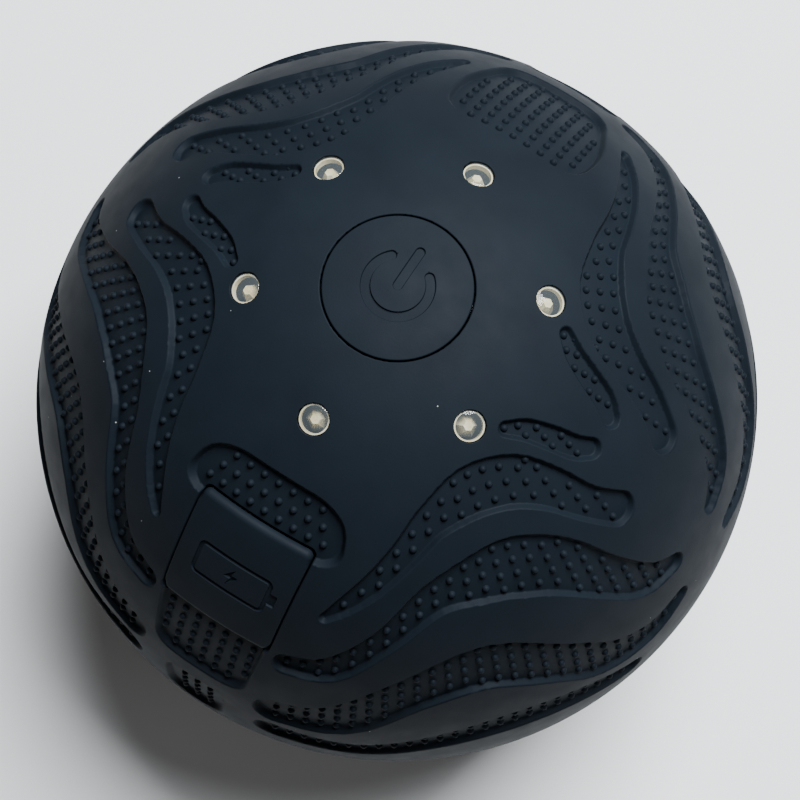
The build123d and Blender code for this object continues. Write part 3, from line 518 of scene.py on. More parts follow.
class SurfaceMesh:
    """Triangles on the unit sphere that can be split where an edge needs it."""

    def __init__(self, places, triangles):
        self.places = places
        self.use(triangles)

    def use(self, triangles):
        """Take these triangles, and drop the places that none of them uses."""
        used = np.unique(triangles)
        renumber = np.full(len(self.places), -1)
        renumber[used] = np.arange(len(used))
        self.places = self.places[used]
        self.triangles = renumber[triangles]
        self.known = {}

    def sides(self):
        """Every triangle's three sides, as pairs of places in the triangle's order."""
        return self.triangles[:, [[0, 1], [1, 2], [2, 0]]].reshape(-1, 2)

    def pair_keys(self, pairs):
        """One number for each pair of places."""
        return pairs[:, 0].astype(np.int64) * len(self.places) + pairs[:, 1]

    def edges(self):
        """The edges, as pairs of places, and each triangle's three edges."""
        pairs = np.sort(self.sides(), axis=1)
        keys = self.pair_keys(pairs)
        _, first, which = np.unique(keys, return_index=True, return_inverse=True)
        return pairs[first], which.reshape(-1, 3)

    def lengths(self, edges):
        """Each edge's length in millimetres."""
        return self.gap(edges[:, 0], edges[:, 1]) * BALL_RADIUS

    def split(self, edges, of_triangle, marked, share):
        """Split the marked edges at a share of their length, and the triangles beside them."""
        new_number = np.full(len(edges), -1)
        new_number[marked] = len(self.places) + np.arange(marked.sum())
        start, end = edges[marked, 0], edges[marked, 1]
        part = share[marked][:, None]
        added = self.places[start] * (1 - part) + self.places[end] * part
        self.places = np.vstack([self.places, unit(added)])
        corner = self.triangles
        middle = new_number[of_triangle]
        # The code says which of a triangle's edges are split: 1, 2 and 4, added up.
        code = (middle >= 0) @ np.array([1, 2, 4])
        result = [corner[code == 0]]
        for turn, codes in enumerate(((1, 3), (2, 6), (4, 5))):
            order = [turn, (turn + 1) % 3, (turn + 2) % 3]
            a, b, c = corner[code == codes[0]][:, order].T
            ab = middle[code == codes[0]][:, order[0]]
            result += [np.stack([a, ab, c], 1), np.stack([ab, b, c], 1)]
            a, b, c = corner[code == codes[1]][:, order].T
            ab, bc = middle[code == codes[1]][:, order[:2]].T
            result.append(np.stack([ab, b, bc], 1))
            short = self.gap(a, bc) < self.gap(ab, c)
            result.append(np.stack([a, ab, np.where(short, bc, c)], 1))
            result.append(np.stack([np.where(short, a, ab), bc, c], 1))
        a, b, c = corner[code == 7].T
        ab, bc, ca = middle[code == 7].T
        quarters = ((a, ab, ca), (ab, b, bc), (ca, bc, c), (ab, bc, ca))
        result += [np.stack(quarter, 1) for quarter in quarters]
        self.triangles = np.vstack(result)

    def gap(self, first, second):
        """How far apart two lists of places are."""
        return np.linalg.norm(self.places[first] - self.places[second], axis=1)

    def measured(self, distance):
        """A distance at every place, worked out again only where a place is new or has moved."""
        values = np.full(len(self.places), np.nan)
        known = self.known.get(distance, values[:0])
        values[: len(known)] = known
        unknown = np.isnan(values)
        if unknown.any():
            values[unknown] = distance(self.places[unknown])
        self.known[distance] = values
        return values

    def refine(self, band, fine):
        """Halve edges until they are fine where a band of detail is near and coarse elsewhere."""
        while True:
            edges, of_triangle = self.edges()
            lengths = self.lengths(edges)
            nearest = self.measured(band)[edges].min(1)
            wanted = np.where(nearest < NEAR_SHARE * lengths, fine, COARSE_EDGE)
            marked = lengths > wanted
            if not marked.any():
                return
            longest = of_triangle[np.arange(len(of_triangle)), lengths[of_triangle].argmax(1)]
            while True:
                missing = marked[of_triangle].any(1) & ~marked[longest]
                if not missing.any():
                    break
                marked[longest[missing]] = True
            self.split(edges, of_triangle, marked, np.full(len(edges), 0.5))

    def follow(self, distance, level):
        """Put places along the line where a distance has a level, so that no edge crosses it."""
        edges, of_triangle = self.edges()
        a, b = edges.T
        offset = self.measured(distance) - level
        crossing, share = self.crossings(distance, level, edges, offset)
        on_line = np.zeros(len(self.places), bool)
        for near, end in ((share < SNAP_SHARE, a), (share > 1 - SNAP_SHARE, b)):
            chosen = crossing & near & ~on_line[end]
            part = share[chosen][:, None]
            moved = unit(self.places[a[chosen]] * (1 - part) + self.places[b[chosen]] * part)
            self.places[end[chosen]] = moved
            on_line[end[chosen]] = True
        for values in self.known.values():
            values[on_line[: len(values)]] = np.nan
        offset = np.where(on_line, 0, self.measured(distance) - level)
        self.known[distance][on_line] = level
        crossing, share = self.crossings(distance, level, edges, offset)
        before = len(self.places)
        self.split(edges, of_triangle, crossing, share)
        self.measured(distance)[before:] = level

    def crossings(self, distance, level, edges, offset):
        """Which edges cross a level, and the share along each edge where it lies."""
        crossing = offset[edges].prod(1) < 0
        share = np.full(len(edges), 0.5)
        if not crossing.any():
            return crossing, share
        start, end = edges[crossing].T
        a, b = self.places[start], self.places[end]
        low, high = offset[start], offset[end]
        t = low / (low - high)
        middle = distance(unit(a * (1 - t[:, None]) + b * t[:, None])) - level
        left = middle * low > 0
        t_low, t_high = np.where(left, t, 0), np.where(left, 1, t)
        f_low, f_high = np.where(left, middle, low), np.where(left, high, middle)
        better = t_low + (t_high - t_low) * f_low / np.where(f_low == f_high, 1, f_low - f_high)
        share[crossing] = np.clip(better, LEAST_SHARE, 1 - LEAST_SHARE)
        return crossing, share

    def middles(self):
        """The middle of each triangle, as a direction."""
        return unit(self.places[self.triangles].mean(1))

    def border(self):
        """Directed edges that only one triangle uses."""
        pairs = self.sides()
        return pairs[~np.isin(self.pair_keys(pairs), self.pair_keys(pairs[:, ::-1]))]


def tangents(places):
    """Two directions along the surface at each place."""
    helper = np.where(np.abs(places[:, 2:3]) < 0.9, [[0.0, 0.0, 1.0]], [[1.0, 0.0, 0.0]])
    first = unit(np.cross(helper, places))
    return first, np.cross(places, first)


def uphill(distance, places):
    """The direction along the surface in which a distance grows fastest."""
    first, second = tangents(places)
    step = SLOPE_STEP / BALL_RADIUS
    rise_first = distance(places + first * step) - distance(places - first * step)
    rise_second = distance(places + second * step) - distance(places - second * step)
    slope = first * rise_first[:, None] + second * rise_second[:, None]
    return slope / np.maximum(np.linalg.norm(slope, axis=1, keepdims=True), 1e-9)


# ======== surface profiles ========
def wall_drop(distance, depth, width):
    """Height and slope of a wall that falls by depth over a width inside an edge."""
    share = np.clip(-distance / width, 0, 1)
    height = -depth * share**2 * (3 - 2 * share)
    slope = depth / width * 6 * share * (1 - share)
    return height, slope


def edge_round(distance, radius):
    """Height and lean of an edge that rounds over towards a hole or an outline."""
    lean = np.clip((radius - distance) / radius, 0, 1)
    height = -radius * (1 - np.sqrt(1 - lean**2))
    return height, lean


# ======== meshes in Blender ========
def linked(name, data):
    """A new object for a mesh, a light or a camera, in the scene."""
    thing = bpy.data.objects.new(name, data)
    bpy.context.scene.collection.objects.link(thing)
    return thing


def add_object(name, points, faces, normals, body, slot, replaced=()):
    """A smooth mesh piece from points in millimetres, with a normal for every face corner."""
    mesh = bpy.data.meshes.new(name)
    mesh.from_pydata((np.asarray(points) * MM).tolist(), [], [list(face) for face in faces])
    mesh.polygons.foreach_set("use_smooth", np.ones(len(mesh.polygons), bool))
    if normals is not None:
        mesh.normals_split_custom_set(np.asarray(normals, float).tolist())
    mesh.validate(clean_customdata=False)
    piece = linked(name, mesh)
    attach(piece, body)
    mesh.materials.append(FINISHES[slot])
    if replaced:
        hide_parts(*replaced)
    return piece


# ======== moulded pieces ========
class Moulding:
    """One moulded surface: where it is sunk, and where and how far its edges round over."""

    def __init__(self, sunk, depth, width, edge, rounding, fine=FINE_EDGE):
        self.sunk, self.depth, self.width = sunk, depth, width
        self.edge, self.rounding, self.fine = edge, rounding, fine

    def band(self, places):
        """Millimetres to the nearest wall or rounded edge."""
        sunk = self.sunk(places)
        edge = self.edge(places)
        at_wall = np.maximum(np.maximum(sunk, -self.width - sunk), 0)
        at_edge = np.maximum(np.maximum(edge - self.rounding(places), -edge), 0)
        return np.minimum(at_wall, at_edge)

    def edge_share(self, places):
        """How far each place is from the edge, as a share of the edge's rounding."""
        return self.edge(places) / self.rounding(places)

    def surface(self, keep_octant):
        """The mesh of the surface on the unit sphere, fine along its walls and edges."""
        mesh = SurfaceMesh(*octant_sphere(keep_octant))
        mesh.refine(self.band, self.fine)
        for step in range(WALL_STEPS + 1):
            mesh.follow(self.sunk, -self.width * step / WALL_STEPS)
        for share in EDGE_SHARES:
            mesh.follow(self.edge_share, share)
        mesh.use(mesh.triangles[self.edge(mesh.middles()) > 0])
        return mesh

    def shape(self, places):
        """Points, normals and the height that the rounded edge alone takes off."""
        height, slope = wall_drop(self.sunk(places), self.depth, self.width)
        normals = places.copy()
        sloped = slope > 0
        normals[sloped] -= uphill(self.sunk, places[sloped]) * slope[sloped][:, None]
        normals = unit(normals)
        rounded, lean = edge_round(np.maximum(self.edge(places), 0), self.rounding(places))
        leaning = lean > 0
        away = uphill(self.edge, places[leaning])
        part = lean[leaning][:, None]
        normals[leaning] = unit(normals[leaning] * np.sqrt(1 - part**2) - away * part)
        return places * (BALL_RADIUS + height + rounded)[:, None], normals, rounded


def dropped(points, axes, radii):
    """The points moved inwards along their axes to balls of given radii."""
    reach = (points * axes).sum(1)
    inside = reach**2 - (points**2).sum(1) + np.asarray(radii) ** 2
    return points - axes * (reach - np.sqrt(np.maximum(inside, 0)))[:, None]


def evenly_spread(count):
    """Directions spread evenly over a ball along a golden spiral."""
    number = np.arange(count) + 0.5
    height = 1 - 2 * number / count
    turn = number * math.pi * (3 - math.sqrt(5))
    ring = np.sqrt(1 - height**2)
    return np.stack([ring * np.cos(turn), ring * np.sin(turn), height], 1)


def inner_triangles(rim, loops, solid):
    """Places and triangles that fill the inside of a half skin between its border loops."""
    spread = evenly_spread(int(4 * math.pi * (BALL_RADIUS / INNER_SPACING) ** 2))
    near = math.cos(INNER_SPACING / BALL_RADIUS / 2)
    spread = spread[spread[:, 2] * rim[:, 2].mean() > 0]
    spread = spread[((rim @ spread.T).max(0) < near) & solid(spread)]
    together = np.vstack([rim, spread])
    flat = together[:, :2] / (1 + np.abs(together[:, 2:]))
    result = delaunay_2d_cdt([Vector(xy) for xy in flat], loops.tolist(), [], 0, 1e-7)
    source = [origins[0] for origins in result[3]]
    faces = np.array([[source[corner] for corner in face] for face in result[2]])
    faces = faces[solid(unit(together[faces].mean(1)))]
    corners = together[faces]
    turned = np.cross(corners[:, 1] - corners[:, 0], corners[:, 2] - corners[:, 0])
    outward = (turned * corners[:, 0]).sum(1) > 0
    faces[outward] = faces[outward][:, ::-1]
    return spread, faces


def add_skin(name, upper, replaced):
    """One half of the silicone skin: a closed shell with recesses and openings."""
    edge = upper_edge if upper else lower_edge
    rounding = upper_rounding if upper else even_rounding(SEAM_EDGE)
    moulding = Moulding(recess_distance, RECESS_DEPTH, WALL_WIDTH, edge, rounding)
    mesh = moulding.surface(lambda signs: (signs[2] > 0) == upper)
    points, normals, _ = moulding.shape(mesh.places)
    border = mesh.border()
    rim = np.unique(border)
    axes = mesh.places[rim]
    side = np.tile(-POLE if upper else POLE, (len(rim), 1))
    if upper:
        at_opening = axes[:, 2] > SEAM_HEIGHT
        nearest = np.abs(openings_distances(axes)).argmin(0)
        side[at_opening] = -uphill(opening_distance, axes[at_opening])
        axes[at_opening] = OPENING_AXES[nearest][at_opening]
    below = dropped(points[rim], axes, SKIN_INNER_RADIUS)
    rim_number = np.full(len(points), -1)
    rim_number[rim] = np.arange(len(rim))
    loops = rim_number[border]
    spread, inside = inner_triangles(unit(below), loops, lambda places: edge(places) > 0)
    base = len(points)
    everything = np.vstack([points, below, spread * SKIN_INNER_RADIUS])
    inside = inside + base
    walls = wall_faces(border, loops + base)
    wall_corners = wall_faces(loops, loops)
    corner_normals = [
        normals[mesh.triangles].reshape(-1, 3),
        side[wall_corners].reshape(-1, 3),
        -unit(everything[inside].reshape(-1, 3)),
    ]
    faces = mesh.triangles.tolist() + walls.tolist() + inside.tolist()
    add_object(name, everything, faces, np.vstack(corner_normals), "ball", "silicone", replaced)


def wall_faces(above, below):
    """Four-sided faces between two lists of edges, the second below the first."""
    return np.stack([above[:, 1], above[:, 0], below[:, 0], below[:, 1]], 1)


def cap_parts(moulding, axis, bottom, keep_octant):
    """Points, faces and corner normals of a cap that fills an opening, down to a bottom radius."""
    mesh = moulding.surface(keep_octant)
    points, normals, rounded = moulding.shape(mesh.places)
    axes = np.tile(axis, (len(points), 1))
    below = dropped(points, axes, bottom - rounded)
    under = unit(below) * -1
    border = mesh.border()
    rim = np.unique(border)
    side = np.zeros_like(points)
    side[rim] = -uphill(moulding.edge, mesh.places[rim])
    base = len(points)
    walls = wall_faces(border, border + base)
    wall_corners = wall_faces(border, border)
    flipped = mesh.triangles[:, ::-1]
    corner_normals = [
        normals[mesh.triangles].reshape(-1, 3),
        under[flipped].reshape(-1, 3),
        side[wall_corners].reshape(-1, 3),
    ]
    faces = mesh.triangles.tolist() + (flipped + base).tolist() + walls.tolist()
    return np.vstack([points, below]), faces, np.vstack(corner_normals)


def add_button():
    """The power button: a disc cut from the skin, with the power mark pressed into it."""
    rounding = even_rounding(BUTTON_EDGE)
    moulding = Moulding(power_mark, SYMBOL_DEPTH, SYMBOL_WALL, button_edge, rounding, MARK_EDGE)
    parts = cap_parts(moulding, POLE, BUTTON_BOTTOM, lambda signs: signs[2] > 0)
    add_object("silicone_power_button", *parts, "button", "silicone_button", ["power_button"])


def box_parts(across, up, low, high):
    """Points and faces of a box in the port's own directions, between two heights."""
    corners = []
    for z in (low, high):
        for y in up:
            corners += [PORT_SIDE * x + PORT_UP * y + PORT_AXIS * z for x in across]
    faces = [[0, 2, 3, 1], [4, 5, 7, 6], [0, 1, 5, 4], [2, 6, 7, 3], [0, 4, 6, 2], [1, 3, 7, 5]]
    return np.array(corners), faces


def flat_normals(points, faces):
    """A flat-shaded normal for every corner of some faces."""
    normals = []
    for face in faces:
        a, b, c = points[face[0]], points[face[1]], points[face[2]]
        normals += [unit(np.cross(b - a, c - a))] * len(face)
    return np.array(normals)


def add_flap():
    """The charging flap: a moulded lid with a barrel along its hinge and two ribs under it."""
    moulding = Moulding(
        charge_mark, SYMBOL_DEPTH, SYMBOL_WALL, flap_edge, flap_rounding, MARK_EDGE
    )
    bottom = BALL_RADIUS - FLAP_THICKNESS
    points, faces, normals = cap_parts(
        moulding, PORT_AXIS, bottom, lambda signs: signs[1] < 0 < signs[2]
    )
    for side in (-1, 1):
        middle = side * RIB_PLACE
        across = (middle - RIB_WIDTH / 2, middle + RIB_WIDTH / 2)
        up = (-RIB_LENGTH / 2, RIB_LENGTH / 2)
        rib_points, rib_faces = box_parts(across, up, RIB_FOOT, bottom + FLAP_THICKNESS / 2)
        normals = np.vstack([normals, flat_normals(rib_points, rib_faces)])
        faces = faces + [[corner + len(points) for corner in face] for face in rib_faces]
        points = np.vstack([points, rib_points])
    add_object("silicone_port_flap", points, faces, normals, "flap", "silicone_flap", ["port_flap"])


# ======== nubs ========
def ring_faces(rings, sides):
    """Faces that join each ring of points to the next one."""
    faces = []
    for low in range(0, (rings - 1) * sides, sides):
        for k in range(sides):
            after = (k + 1) % sides
            faces.append([low + k, low + after, low + sides + after, low + sides + k])
    return faces


def nub_parts(places):
    """Points, faces and normals of low round nubs that stand on the recess floors."""
    turns = np.arange(NUB_SIDES) * 2 * math.pi / NUB_SIDES
    leans = np.linspace(0, math.pi / 2, NUB_RINGS + 1)[1:][::-1]
    first, second = tangents(places)
    floor = BALL_RADIUS - RECESS_DEPTH - NUB_ROOT
    height = NUB_HEIGHT + NUB_ROOT
    points, normals = [], []
    for lean in leans:
        for turn in turns:
            around = first * math.cos(turn) + second * math.sin(turn)
            out = NUB_RADIUS * math.sin(lean)
            points.append(places * (floor + height * math.cos(lean)) + around * out)
            tilt = around * math.sin(lean) * height + places * math.cos(lean) * NUB_RADIUS
            normals.append(unit(tilt))
    points.append(places * (floor + height))
    normals.append(places)
    one = ring_faces(NUB_RINGS, NUB_SIDES)
    top = (NUB_RINGS - 1) * NUB_SIDES
    for k in range(NUB_SIDES):
        one.append([top + k, top + (k + 1) % NUB_SIDES, len(points) - 1])
    one.append(list(range(NUB_SIDES))[::-1])
    count = len(points)
    all_points = np.stack(points, 1).reshape(-1, 3)
    all_normals = np.stack(normals, 1).reshape(-1, 3)
    faces = []
    for first_corner in range(0, len(places) * count, count):
        faces += [[corner + first_corner for corner in face] for face in one]
    order = [corner for face in faces for corner in face]
    return all_points, faces, all_normals[order]


def wave_nubs(wave, pitch, margin):
    """Nubs along one wave: columns a pitch apart, with as many rows as there is room for."""
    curve = smooth_line(wave, ROW_STEPS)
    places = []
    azimuth = curve[0, 0]
    while azimuth < curve[-1, 0]:
        polar = np.interp(azimuth, curve[:, 0], curve[:, 1])
        tries = polar + np.arange(-TRY_COUNT, TRY_COUNT + 1) * TRY_STEP
        column = np.array([direction(azimuth, angle) for angle in tries])
        room = tries[wave_distance(column) < -margin]
        room = room[np.abs(room - polar) < NUB_REACH]
        if len(room):
            span = room[-1] - room[0]
            rows = int(span / pitch) + 1
            spare = (span - (rows - 1) * pitch) / 2
            places += [direction(azimuth, room[0] + spare + row * pitch) for row in range(rows)]
        azimuth += pitch / math.sin(math.radians(polar))
    return places


def panel_nubs(corners, front, lowest=None, stagger=0):
    """Nubs in a grid over a recess on a middle line; a stagger shifts every second row."""
    highest = corners[0][1]
    if lowest is None:
        lowest = corners[-1][1]
    rows = int((lowest - highest) / NUB_PITCH)
    widest = max(across for across, _ in corners)
    columns = int(widest / NUB_PITCH) + 1
    places = []
    for row in range(rows):
        polar = (highest + lowest) / 2 + (row - (rows - 1) / 2) * NUB_PITCH
        for column in range(-columns, columns + 1):
            across = math.radians((column + stagger * (row % 2)) * NUB_PITCH)
            along = math.radians(polar)
            y = math.cos(across) * math.sin(along)
            z = math.cos(across) * math.cos(along)
            places.append(np.array([math.sin(across), -y if front else y, z]))
    places = np.array(places)
    side = np.degrees(np.arcsin(places[:, 0]))
    angle = np.degrees(np.arctan2(np.abs(places[:, 1]), places[:, 2]))
    return list(places[panel_distance(side, angle, corners) < -NUB_MARGIN])


def half_nubs(upper):
    """Every nub's place on one half of the ball."""
    quarter = wave_nubs(SHORT_WAVE, SHORT_PITCH, SHORT_MARGIN)
    for wave in (FIRST_WAVE, SECOND_WAVE, THIRD_WAVE, FOURTH_WAVE):
        quarter += wave_nubs(wave, NUB_PITCH, NUB_MARGIN)
    quarter = np.array(quarter)
    turned = [quarter * [x, y, 1] for x in (1, -1) for y in (1, -1)]
    panels = []
    for front in (True, False):
        if front and upper:
            panels += panel_nubs(FINGER_NOTCH, front, FLAP_FREE_POLAR, stagger=0.5)
            straight = (FLAP_PANEL, LOWER_PANEL)
        else:
            straight = (GRIP_PATCH, UPPER_PANEL, LOWER_PANEL)
        for corners in straight:
            panels += panel_nubs(corners, front)
    places = np.vstack(turned + [np.array(panels)])
    if upper:
        return places[opening_distance(places) > NUB_RADIUS + FLAP_GAP]
    return places * [1, 1, -1]


def add_nubs(name, upper):
    """The nubs of one half of the skin."""
    add_object(name, *nub_parts(half_nubs(upper)), "ball", "silicone")


# ======== light windows ========
def turned_parts(profile, axis, sides):
    """Points and faces of a profile of (radius, height) pairs turned about an axis."""
    first, second = tangents(axis[None])
    points = []
    for radius, height in profile:
        for k in range(sides):
            turn = 2 * math.pi * k / sides
            around = first[0] * math.cos(turn) + second[0] * math.sin(turn)
            points.append(axis * height + around * radius)
    faces = ring_faces(len(profile), sides)
    faces.append(list(range(sides))[::-1])
    faces.append(list(range((len(profile) - 1) * sides, len(profile) * sides)))
    return np.array(points), faces


def add_turned(name, profile, axis, sides, slot, sharp, capped=True, replaced=()):
    """A piece turned about an axis, with the edges above sharp degrees left sharp."""
    points, faces = turned_parts(profile, axis, sides)
    if not capped:
        faces = faces[:-2]
    piece = add_object(name, points, faces, None, "ball", slot, replaced)
    piece.data.set_sharp_from_angle(angle=math.radians(sharp))


def add_light(number, axis):
    """One light window: a clear domed pipe, holding a faceted reflector and a painted-highlight
    ring.
    """
    pipe = [
        (LIGHT_STEM, LIGHT_FOOT),
        (LIGHT_STEM, COLLAR_LOW),
        (COLLAR_RADIUS, COLLAR_LOW),
        (COLLAR_RADIUS, COLLAR_HIGH),
        (LIGHT_RADIUS, COLLAR_HIGH),
    ]
    for lean in np.linspace(0, math.pi / 2, DOME_RINGS + 1)[:-1]:
        height = BALL_RADIUS - LIGHT_DOME * (1 - math.sin(lean)) - DOME_INSET
        pipe.append((LIGHT_RADIUS * math.cos(lean), height))
    core = [(CORE_RADIUS, CORE_LOW), (CORE_RADIUS, CORE_LOW + CORE_STRAIGHT), (CORE_TIP, CORE_HIGH)]
    # Painted highlight: this thin cream ring under the dome's rim stands in for the bright rim of
    # the clear dome.
    outside = LIGHT_RADIUS - HIGHLIGHT_RING_INSET
    inside = outside - HIGHLIGHT_RING_WIDTH
    ring = [(inside, HIGHLIGHT_RING_LOW), (outside, HIGHLIGHT_RING_LOW), (outside, HIGHLIGHT_RING_HIGH), (inside, HIGHLIGHT_RING_HIGH)]
    add_turned(
        f"light_window_{number}", pipe, axis, ROUND_SIDES, "light_pipe", sharp=35,
        replaced=[f"light_pipe_{number}"],
    )
    add_turned(f"light_core_{number}", core, axis, CORE_SIDES, "led", sharp=20)
    add_turned(
        f"rim_highlight_ring_{number}", ring + ring[:1], axis, ROUND_SIDES, "led", sharp=40, capped=False
    )


# ======== materials ========
def scaled(colour, share):
    """A colour with every channel times a share."""
    return tuple(channel * share for channel in colour)


class Finish:
    """A material under construction: its nodes, its links and its shader."""

    def __init__(self, name, colour, roughness, metallic=0.0):
        self.material = bpy.data.materials.new(name)
        self.material.use_nodes = True
        self.nodes = self.material.node_tree.nodes
        self.links = self.material.node_tree.links
        self.shader = self.nodes["Principled BSDF"]
        self.give("Metallic", metallic)
        self.give("Roughness", roughness)
        self.give("Base Color", colour)
        self.colour = colour
        self.place = self.node("TexCoord").outputs["Object"]

    def give(self, name, value, node=None):
        """A node's input, the shader's by default, takes a number, a colour or another's output."""
        socket = (node or self.shader).inputs[name]
        if isinstance(value, bpy.types.NodeSocket):
            self.links.new(value, socket)
        else:
            socket.default_value = (*value, 1) if socket.type == "RGBA" else value

    def node(self, kind, inputs=()):
        """A new node, with what its inputs take."""
        node = self.nodes.new("ShaderNode" + kind)
        for name, value in dict(inputs).items():
            self.give(name, value, node)
        return node

    def texture(self, kind, size, inputs=()):
        """A texture whose pattern is about size millimetres wide."""
        usual = {"Scale": 1 / (size * MM), "Vector": self.place}
        return self.node("Tex" + kind, {**usual, **dict(inputs)})

    def noise(self, size, detail=3.0, stretch=(1, 1, 1)):
        """Grey cloudy noise whose patches are about size millimetres wide."""
        place = self.node("Mapping", {"Scale": stretch, "Vector": self.place}).outputs["Vector"]
        return self.texture("Noise", size, {"Detail": detail, "Vector": place}).outputs["Fac"]

    def spread(self, value, low, high, start=0.3, end=0.7):
        """A value stretched from start and end to low and high."""
        limits = {"From Min": start, "From Max": end, "To Min": low, "To Max": high}
        return self.node("MapRange", {"Value": value, **limits}).outputs["Result"]

    def blend(self, value, first, second):
        """A colour that goes from first to second; either may be a colour or a socket."""
        node = self.node("Mix")
        node.data_type = "RGBA"
        for place, given in (("Factor", value), (6, first), (7, second)):
            self.give(place, given, node)
        return node.outputs[2]

    def roughness_from(self, socket, low, high):
        """The shader's roughness follows a socket between two values."""
        self.give("Roughness", self.spread(socket, low, high))

    def relief(self, socket, height):
        """Fine surface relief of a height in millimetres."""
        bump = self.node("Bump", {"Distance": height * MM, "Height": socket})
        self.give("Normal", bump.outputs["Normal"])

    def patches(self, size, darker, lighter, detail=3.0):
        """Colour that goes from darker to lighter in cloudy patches."""
        cloudy = self.spread(self.noise(size, detail), 0, 1)
        self.give("Base Color", self.blend(cloudy, darker, lighter))

    def mottled(self, size, share):
        """Colour that varies a little from patch to patch."""
        lighter = tuple(min(channel * (1 + share), 1) for channel in self.colour)
        self.patches(size, scaled(self.colour, 1 - share), lighter, detail=4)


def silicone(name, colour):
    """Soft matt silicone with a fine grain, dull patches and a few specks of lint."""
    finish = Finish(name, colour, roughness=0.6)
    cloudy = finish.spread(finish.noise(size=9, detail=5), 0, 1)
    worn = finish.blend(cloudy, scaled(colour, 0.92), scaled(colour, 1.12))
    lint = finish.texture("Voronoi", LINT_SPACING).outputs["Distance"]
    lint_reach = LINT_RADIUS / LINT_SPACING
    spot = finish.spread(lint, 1, 0, start=lint_reach * 0.6, end=lint_reach)
    finish.give("Base Color", finish.blend(spot, worn, LINT_COLOUR))
    finish.roughness_from(finish.noise(size=4, detail=4), low=0.56, high=0.64)
    finish.relief(finish.noise(size=0.3, detail=2), height=0.012)
    finish.give("Specular IOR Level", 0.05)
    return finish.material


def moulded(name, colour, roughness=0.5):
    """Moulded plastic with a spark-eroded grain."""
    finish = Finish(name, colour, roughness)
    finish.mottled(size=6, share=0.1)
    finish.roughness_from(finish.noise(size=1.5), roughness - 0.08, roughness + 0.08)
    finish.relief(finish.noise(size=0.25, detail=2), height=0.02)
    return finish.material


def rubber(name, colour):
    """Plain rubber with a slightly uneven surface."""
    finish = Finish(name, colour, roughness=0.7)
    finish.mottled(size=3, share=0.18)
    finish.relief(finish.noise(size=0.8), height=0.03)
    return finish.material


def metal(name, colour, roughness, stretch=(1, 1, 1)):
    """Metal with stains, and with fine lines where the noise is stretched."""
    finish = Finish(name, colour, roughness, metallic=1.0)
    finish.mottled(size=4, share=0.12)
    lines = finish.noise(size=0.5, detail=4, stretch=stretch)
    finish.roughness_from(lines, roughness - 0.1, roughness + 0.12)
    finish.relief(lines, height=0.01)
    return finish.material


def laminated(name, colour):
    """A stack of thin steel sheets, seen from the side as fine bands."""
    finish = Finish(name, colour, roughness=0.45, metallic=0.9)
    bands = finish.texture("Wave", SHEET_PITCH * 3, {"Distortion": 0.2})
    bands.bands_direction = "X"
    band = bands.outputs["Fac"]
    finish.give("Base Color", finish.blend(band, scaled(colour, 0.55), colour))
    finish.relief(band, height=0.05)
    return finish.material


def board(name, colour):
    """Circuit board with tracks that show through the solder mask and small tinned pads."""
    finish = Finish(name, colour, roughness=0.35)
    brighter = (colour[0] * 1.5 + 0.01, colour[1] * 1.7, colour[2] * 1.4)
    shades = {"Color1": colour, "Color2": colour, "Mortar": brighter, "Mortar Size": 0.08}
    tracks = finish.texture("Brick", TRACK_PITCH, shades)
    pads = finish.texture("Voronoi", PAD_PITCH).outputs["Distance"]
    pad = finish.spread(pads, 1, 0, start=0.14, end=0.17)
    finish.give("Base Color", finish.blend(pad, tracks.outputs["Color"], PAD_COLOUR))
    finish.relief(tracks.outputs["Fac"], height=0.03)
    finish.give("Coat Weight", 0.4)
    return finish.material


def wrap(name, colour):
    """Shrink-wrapped battery sleeve with shallow creases, and painted shade that darkens them."""
    finish = Finish(name, colour, roughness=0.38)
    crease_relief_and_shade = finish.noise(size=5, stretch=(1, 3, 3))
    # Painted shade: the colour darkens where the crease relief is low.
    crease_painted_shade = finish.blend(finish.spread(crease_relief_and_shade, 0, 1), scaled(colour, 0.8), colour)
    finish.give("Base Color", crease_painted_shade)
    finish.relief(crease_relief_and_shade, height=0.15)
    finish.give("Coat Weight", 0.3)
    return finish.material


def clear(name, colour):
    """Clear moulded plastic that light passes through, with a faint waviness."""
    finish = Finish(name, colour, roughness=0.06)
    finish.give("Alpha", 0.28)
    finish.give("IOR", 1.58)
    finish.roughness_from(finish.noise(size=2), low=0.03, high=0.1)
    finish.relief(finish.noise(size=1.6), height=0.03)
    return finish.material


def reflector(name, colour):
    """Cream reflector and chip of a light, a little deeper in colour in patches."""
    finish = Finish(name, colour, roughness=0.3)
    deeper = (colour[0] * 0.75, colour[1] * 0.66, colour[2] * 0.42)
    finish.patches(1.5, deeper, colour)
    finish.relief(finish.noise(size=0.8), height=0.03)
    finish.give("Coat Weight", 0.6)
    return finish.material


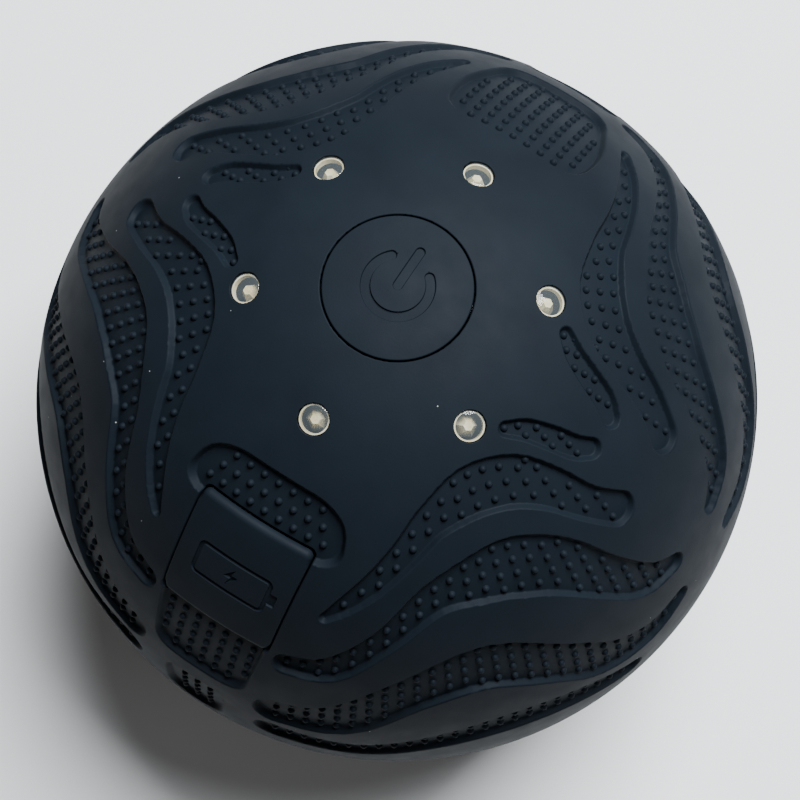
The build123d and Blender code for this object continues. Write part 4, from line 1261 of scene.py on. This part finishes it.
FINISHES = {
    "silicone": silicone("silicone_matt", SILICONE),
    "silicone_button": silicone("silicone_button_matt", SILICONE),
    "silicone_flap": silicone("silicone_flap_matt", SILICONE),
    "shell_plastic": moulded("shell_abs", (0.03, 0.03, 0.034)),
    "bezel_plastic": moulded("bezel_abs", (0.014, 0.014, 0.016), 0.42),
    "bracket_plastic": moulded("bracket_nylon", (0.2, 0.21, 0.23), 0.48),
    "seal_rubber": rubber("seal_red", (0.42, 0.06, 0.035)),
    "pad_rubber": rubber("pad_black", (0.016, 0.016, 0.017)),
    "screw_steel": metal("screw_zinc", (0.62, 0.62, 0.64), 0.3),
    "can_steel": metal("can_plated", (0.56, 0.57, 0.59), 0.32, BRUSHED),
    "core_steel": laminated("core_sheets", (0.3, 0.29, 0.28)),
    "magnet": rubber("magnet_ferrite", (0.05, 0.05, 0.055)),
    "weight_metal": metal("weight_sintered", (0.42, 0.41, 0.4), 0.5),
    "bronze": metal("bronze_sintered", (0.62, 0.42, 0.2), 0.45),
    "copper": metal("copper_turned", (0.9, 0.45, 0.28), 0.3, BRUSHED),
    "carbon": rubber("carbon_brush", (0.02, 0.02, 0.022)),
    "board": board("board_green", (0.015, 0.11, 0.05)),
    "chip": moulded("chip_epoxy", (0.018, 0.018, 0.02), 0.45),
    "plug_plastic": moulded("plug_nylon", (0.75, 0.72, 0.64), 0.45),
    "led": reflector("light_reflector", (0.9, 0.84, 0.62)),
    "light_pipe": clear("light_clear", (0.12, 0.14, 0.15)),
    "cell_wrap": wrap("cell_sleeve", (0.05, 0.19, 0.42)),
    "nickel": metal("nickel_strip", (0.7, 0.67, 0.6), 0.25, BRUSHED),
    "socket_steel": metal("socket_plated", (0.68, 0.68, 0.7), 0.22),
    "lead_red": moulded("lead_pvc", (0.5, 0.02, 0.015), 0.4),
}


# ======== building the object ========
def finish_cad_nodes():
    """CAD pieces that stay visible take the finish that their own material is named after."""
    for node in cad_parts.values():
        for place in node.material_slots:
            place.material = FINISHES[place.material.name.split(".")[0]]


def build_object():
    """Every piece that Blender adds to the CAD model."""
    add_skin("silicone_skin_upper", True, ["skin_upper"])
    add_skin("silicone_skin_lower", False, ["skin_lower"])
    add_nubs("nubs_upper", True)
    add_nubs("nubs_lower", False)
    add_button()
    add_flap()
    for number, axis in enumerate(LIGHT_AXES, start=1):
        add_light(number, axis)


# ======== floor, lights and camera ========
def area_light(name, towards, distance, size, power, colour):
    """A square soft light that shines at the ball's centre."""
    light = bpy.data.lights.new(name, "AREA")
    light.size = size
    light.energy = power
    light.color = colour
    lamp = linked(name, light)
    lamp.location = Vector(towards).normalized() * distance
    lamp.rotation_euler = (-lamp.location).to_track_quat("-Z", "Y").to_euler()


def stage():
    """A plain pale floor under the ball and a pale surrounding."""
    mesh = bpy.data.meshes.new("floor")
    half = FLOOR_SIZE / 2
    signs = ((-1, -1), (1, -1), (1, 1), (-1, 1))
    mesh.from_pydata([(x * half, y * half, cad_low.z) for x, y in signs], [], [(0, 1, 2, 3)])
    floor = linked("floor", mesh)
    paper = Finish("floor_paper", FLOOR_COLOUR, roughness=0.8)
    paper.mottled(size=60, share=0.01)
    floor.data.materials.append(paper.material)
    world = bpy.data.worlds.new("surrounding")
    world.use_nodes = True
    background = world.node_tree.nodes["Background"]
    background.inputs["Color"].default_value = (*WORLD_COLOUR, 1)
    background.inputs["Strength"].default_value = WORLD_STRENGTH
    bpy.context.scene.world = world


def camera():
    """A camera high above the ball, a little towards the charging flap's side."""
    back = Vector(CAMERA_DIRECTION).normalized()
    level = Vector((-back.y, back.x, 0)).normalized()
    right = Matrix.Rotation(math.radians(CAMERA_ROLL), 3, back) @ level
    up = back.cross(right)
    lens = bpy.data.cameras.new("camera")
    lens.lens = CAMERA_LENS
    lens.sensor_width = CAMERA_SENSOR
    lens.shift_x, lens.shift_y = CAMERA_SHIFT
    lens.clip_start = 0.01
    eye = linked("camera", lens)
    turn = Matrix((right, up, back)).transposed().to_4x4()
    eye.matrix_world = Matrix.Translation(back * CAMERA_DISTANCE) @ turn
    bpy.context.scene.camera = eye


finish_cad_nodes()
build_object()
stage()
for lamp in LAMPS:
    area_light(**lamp)
camera()
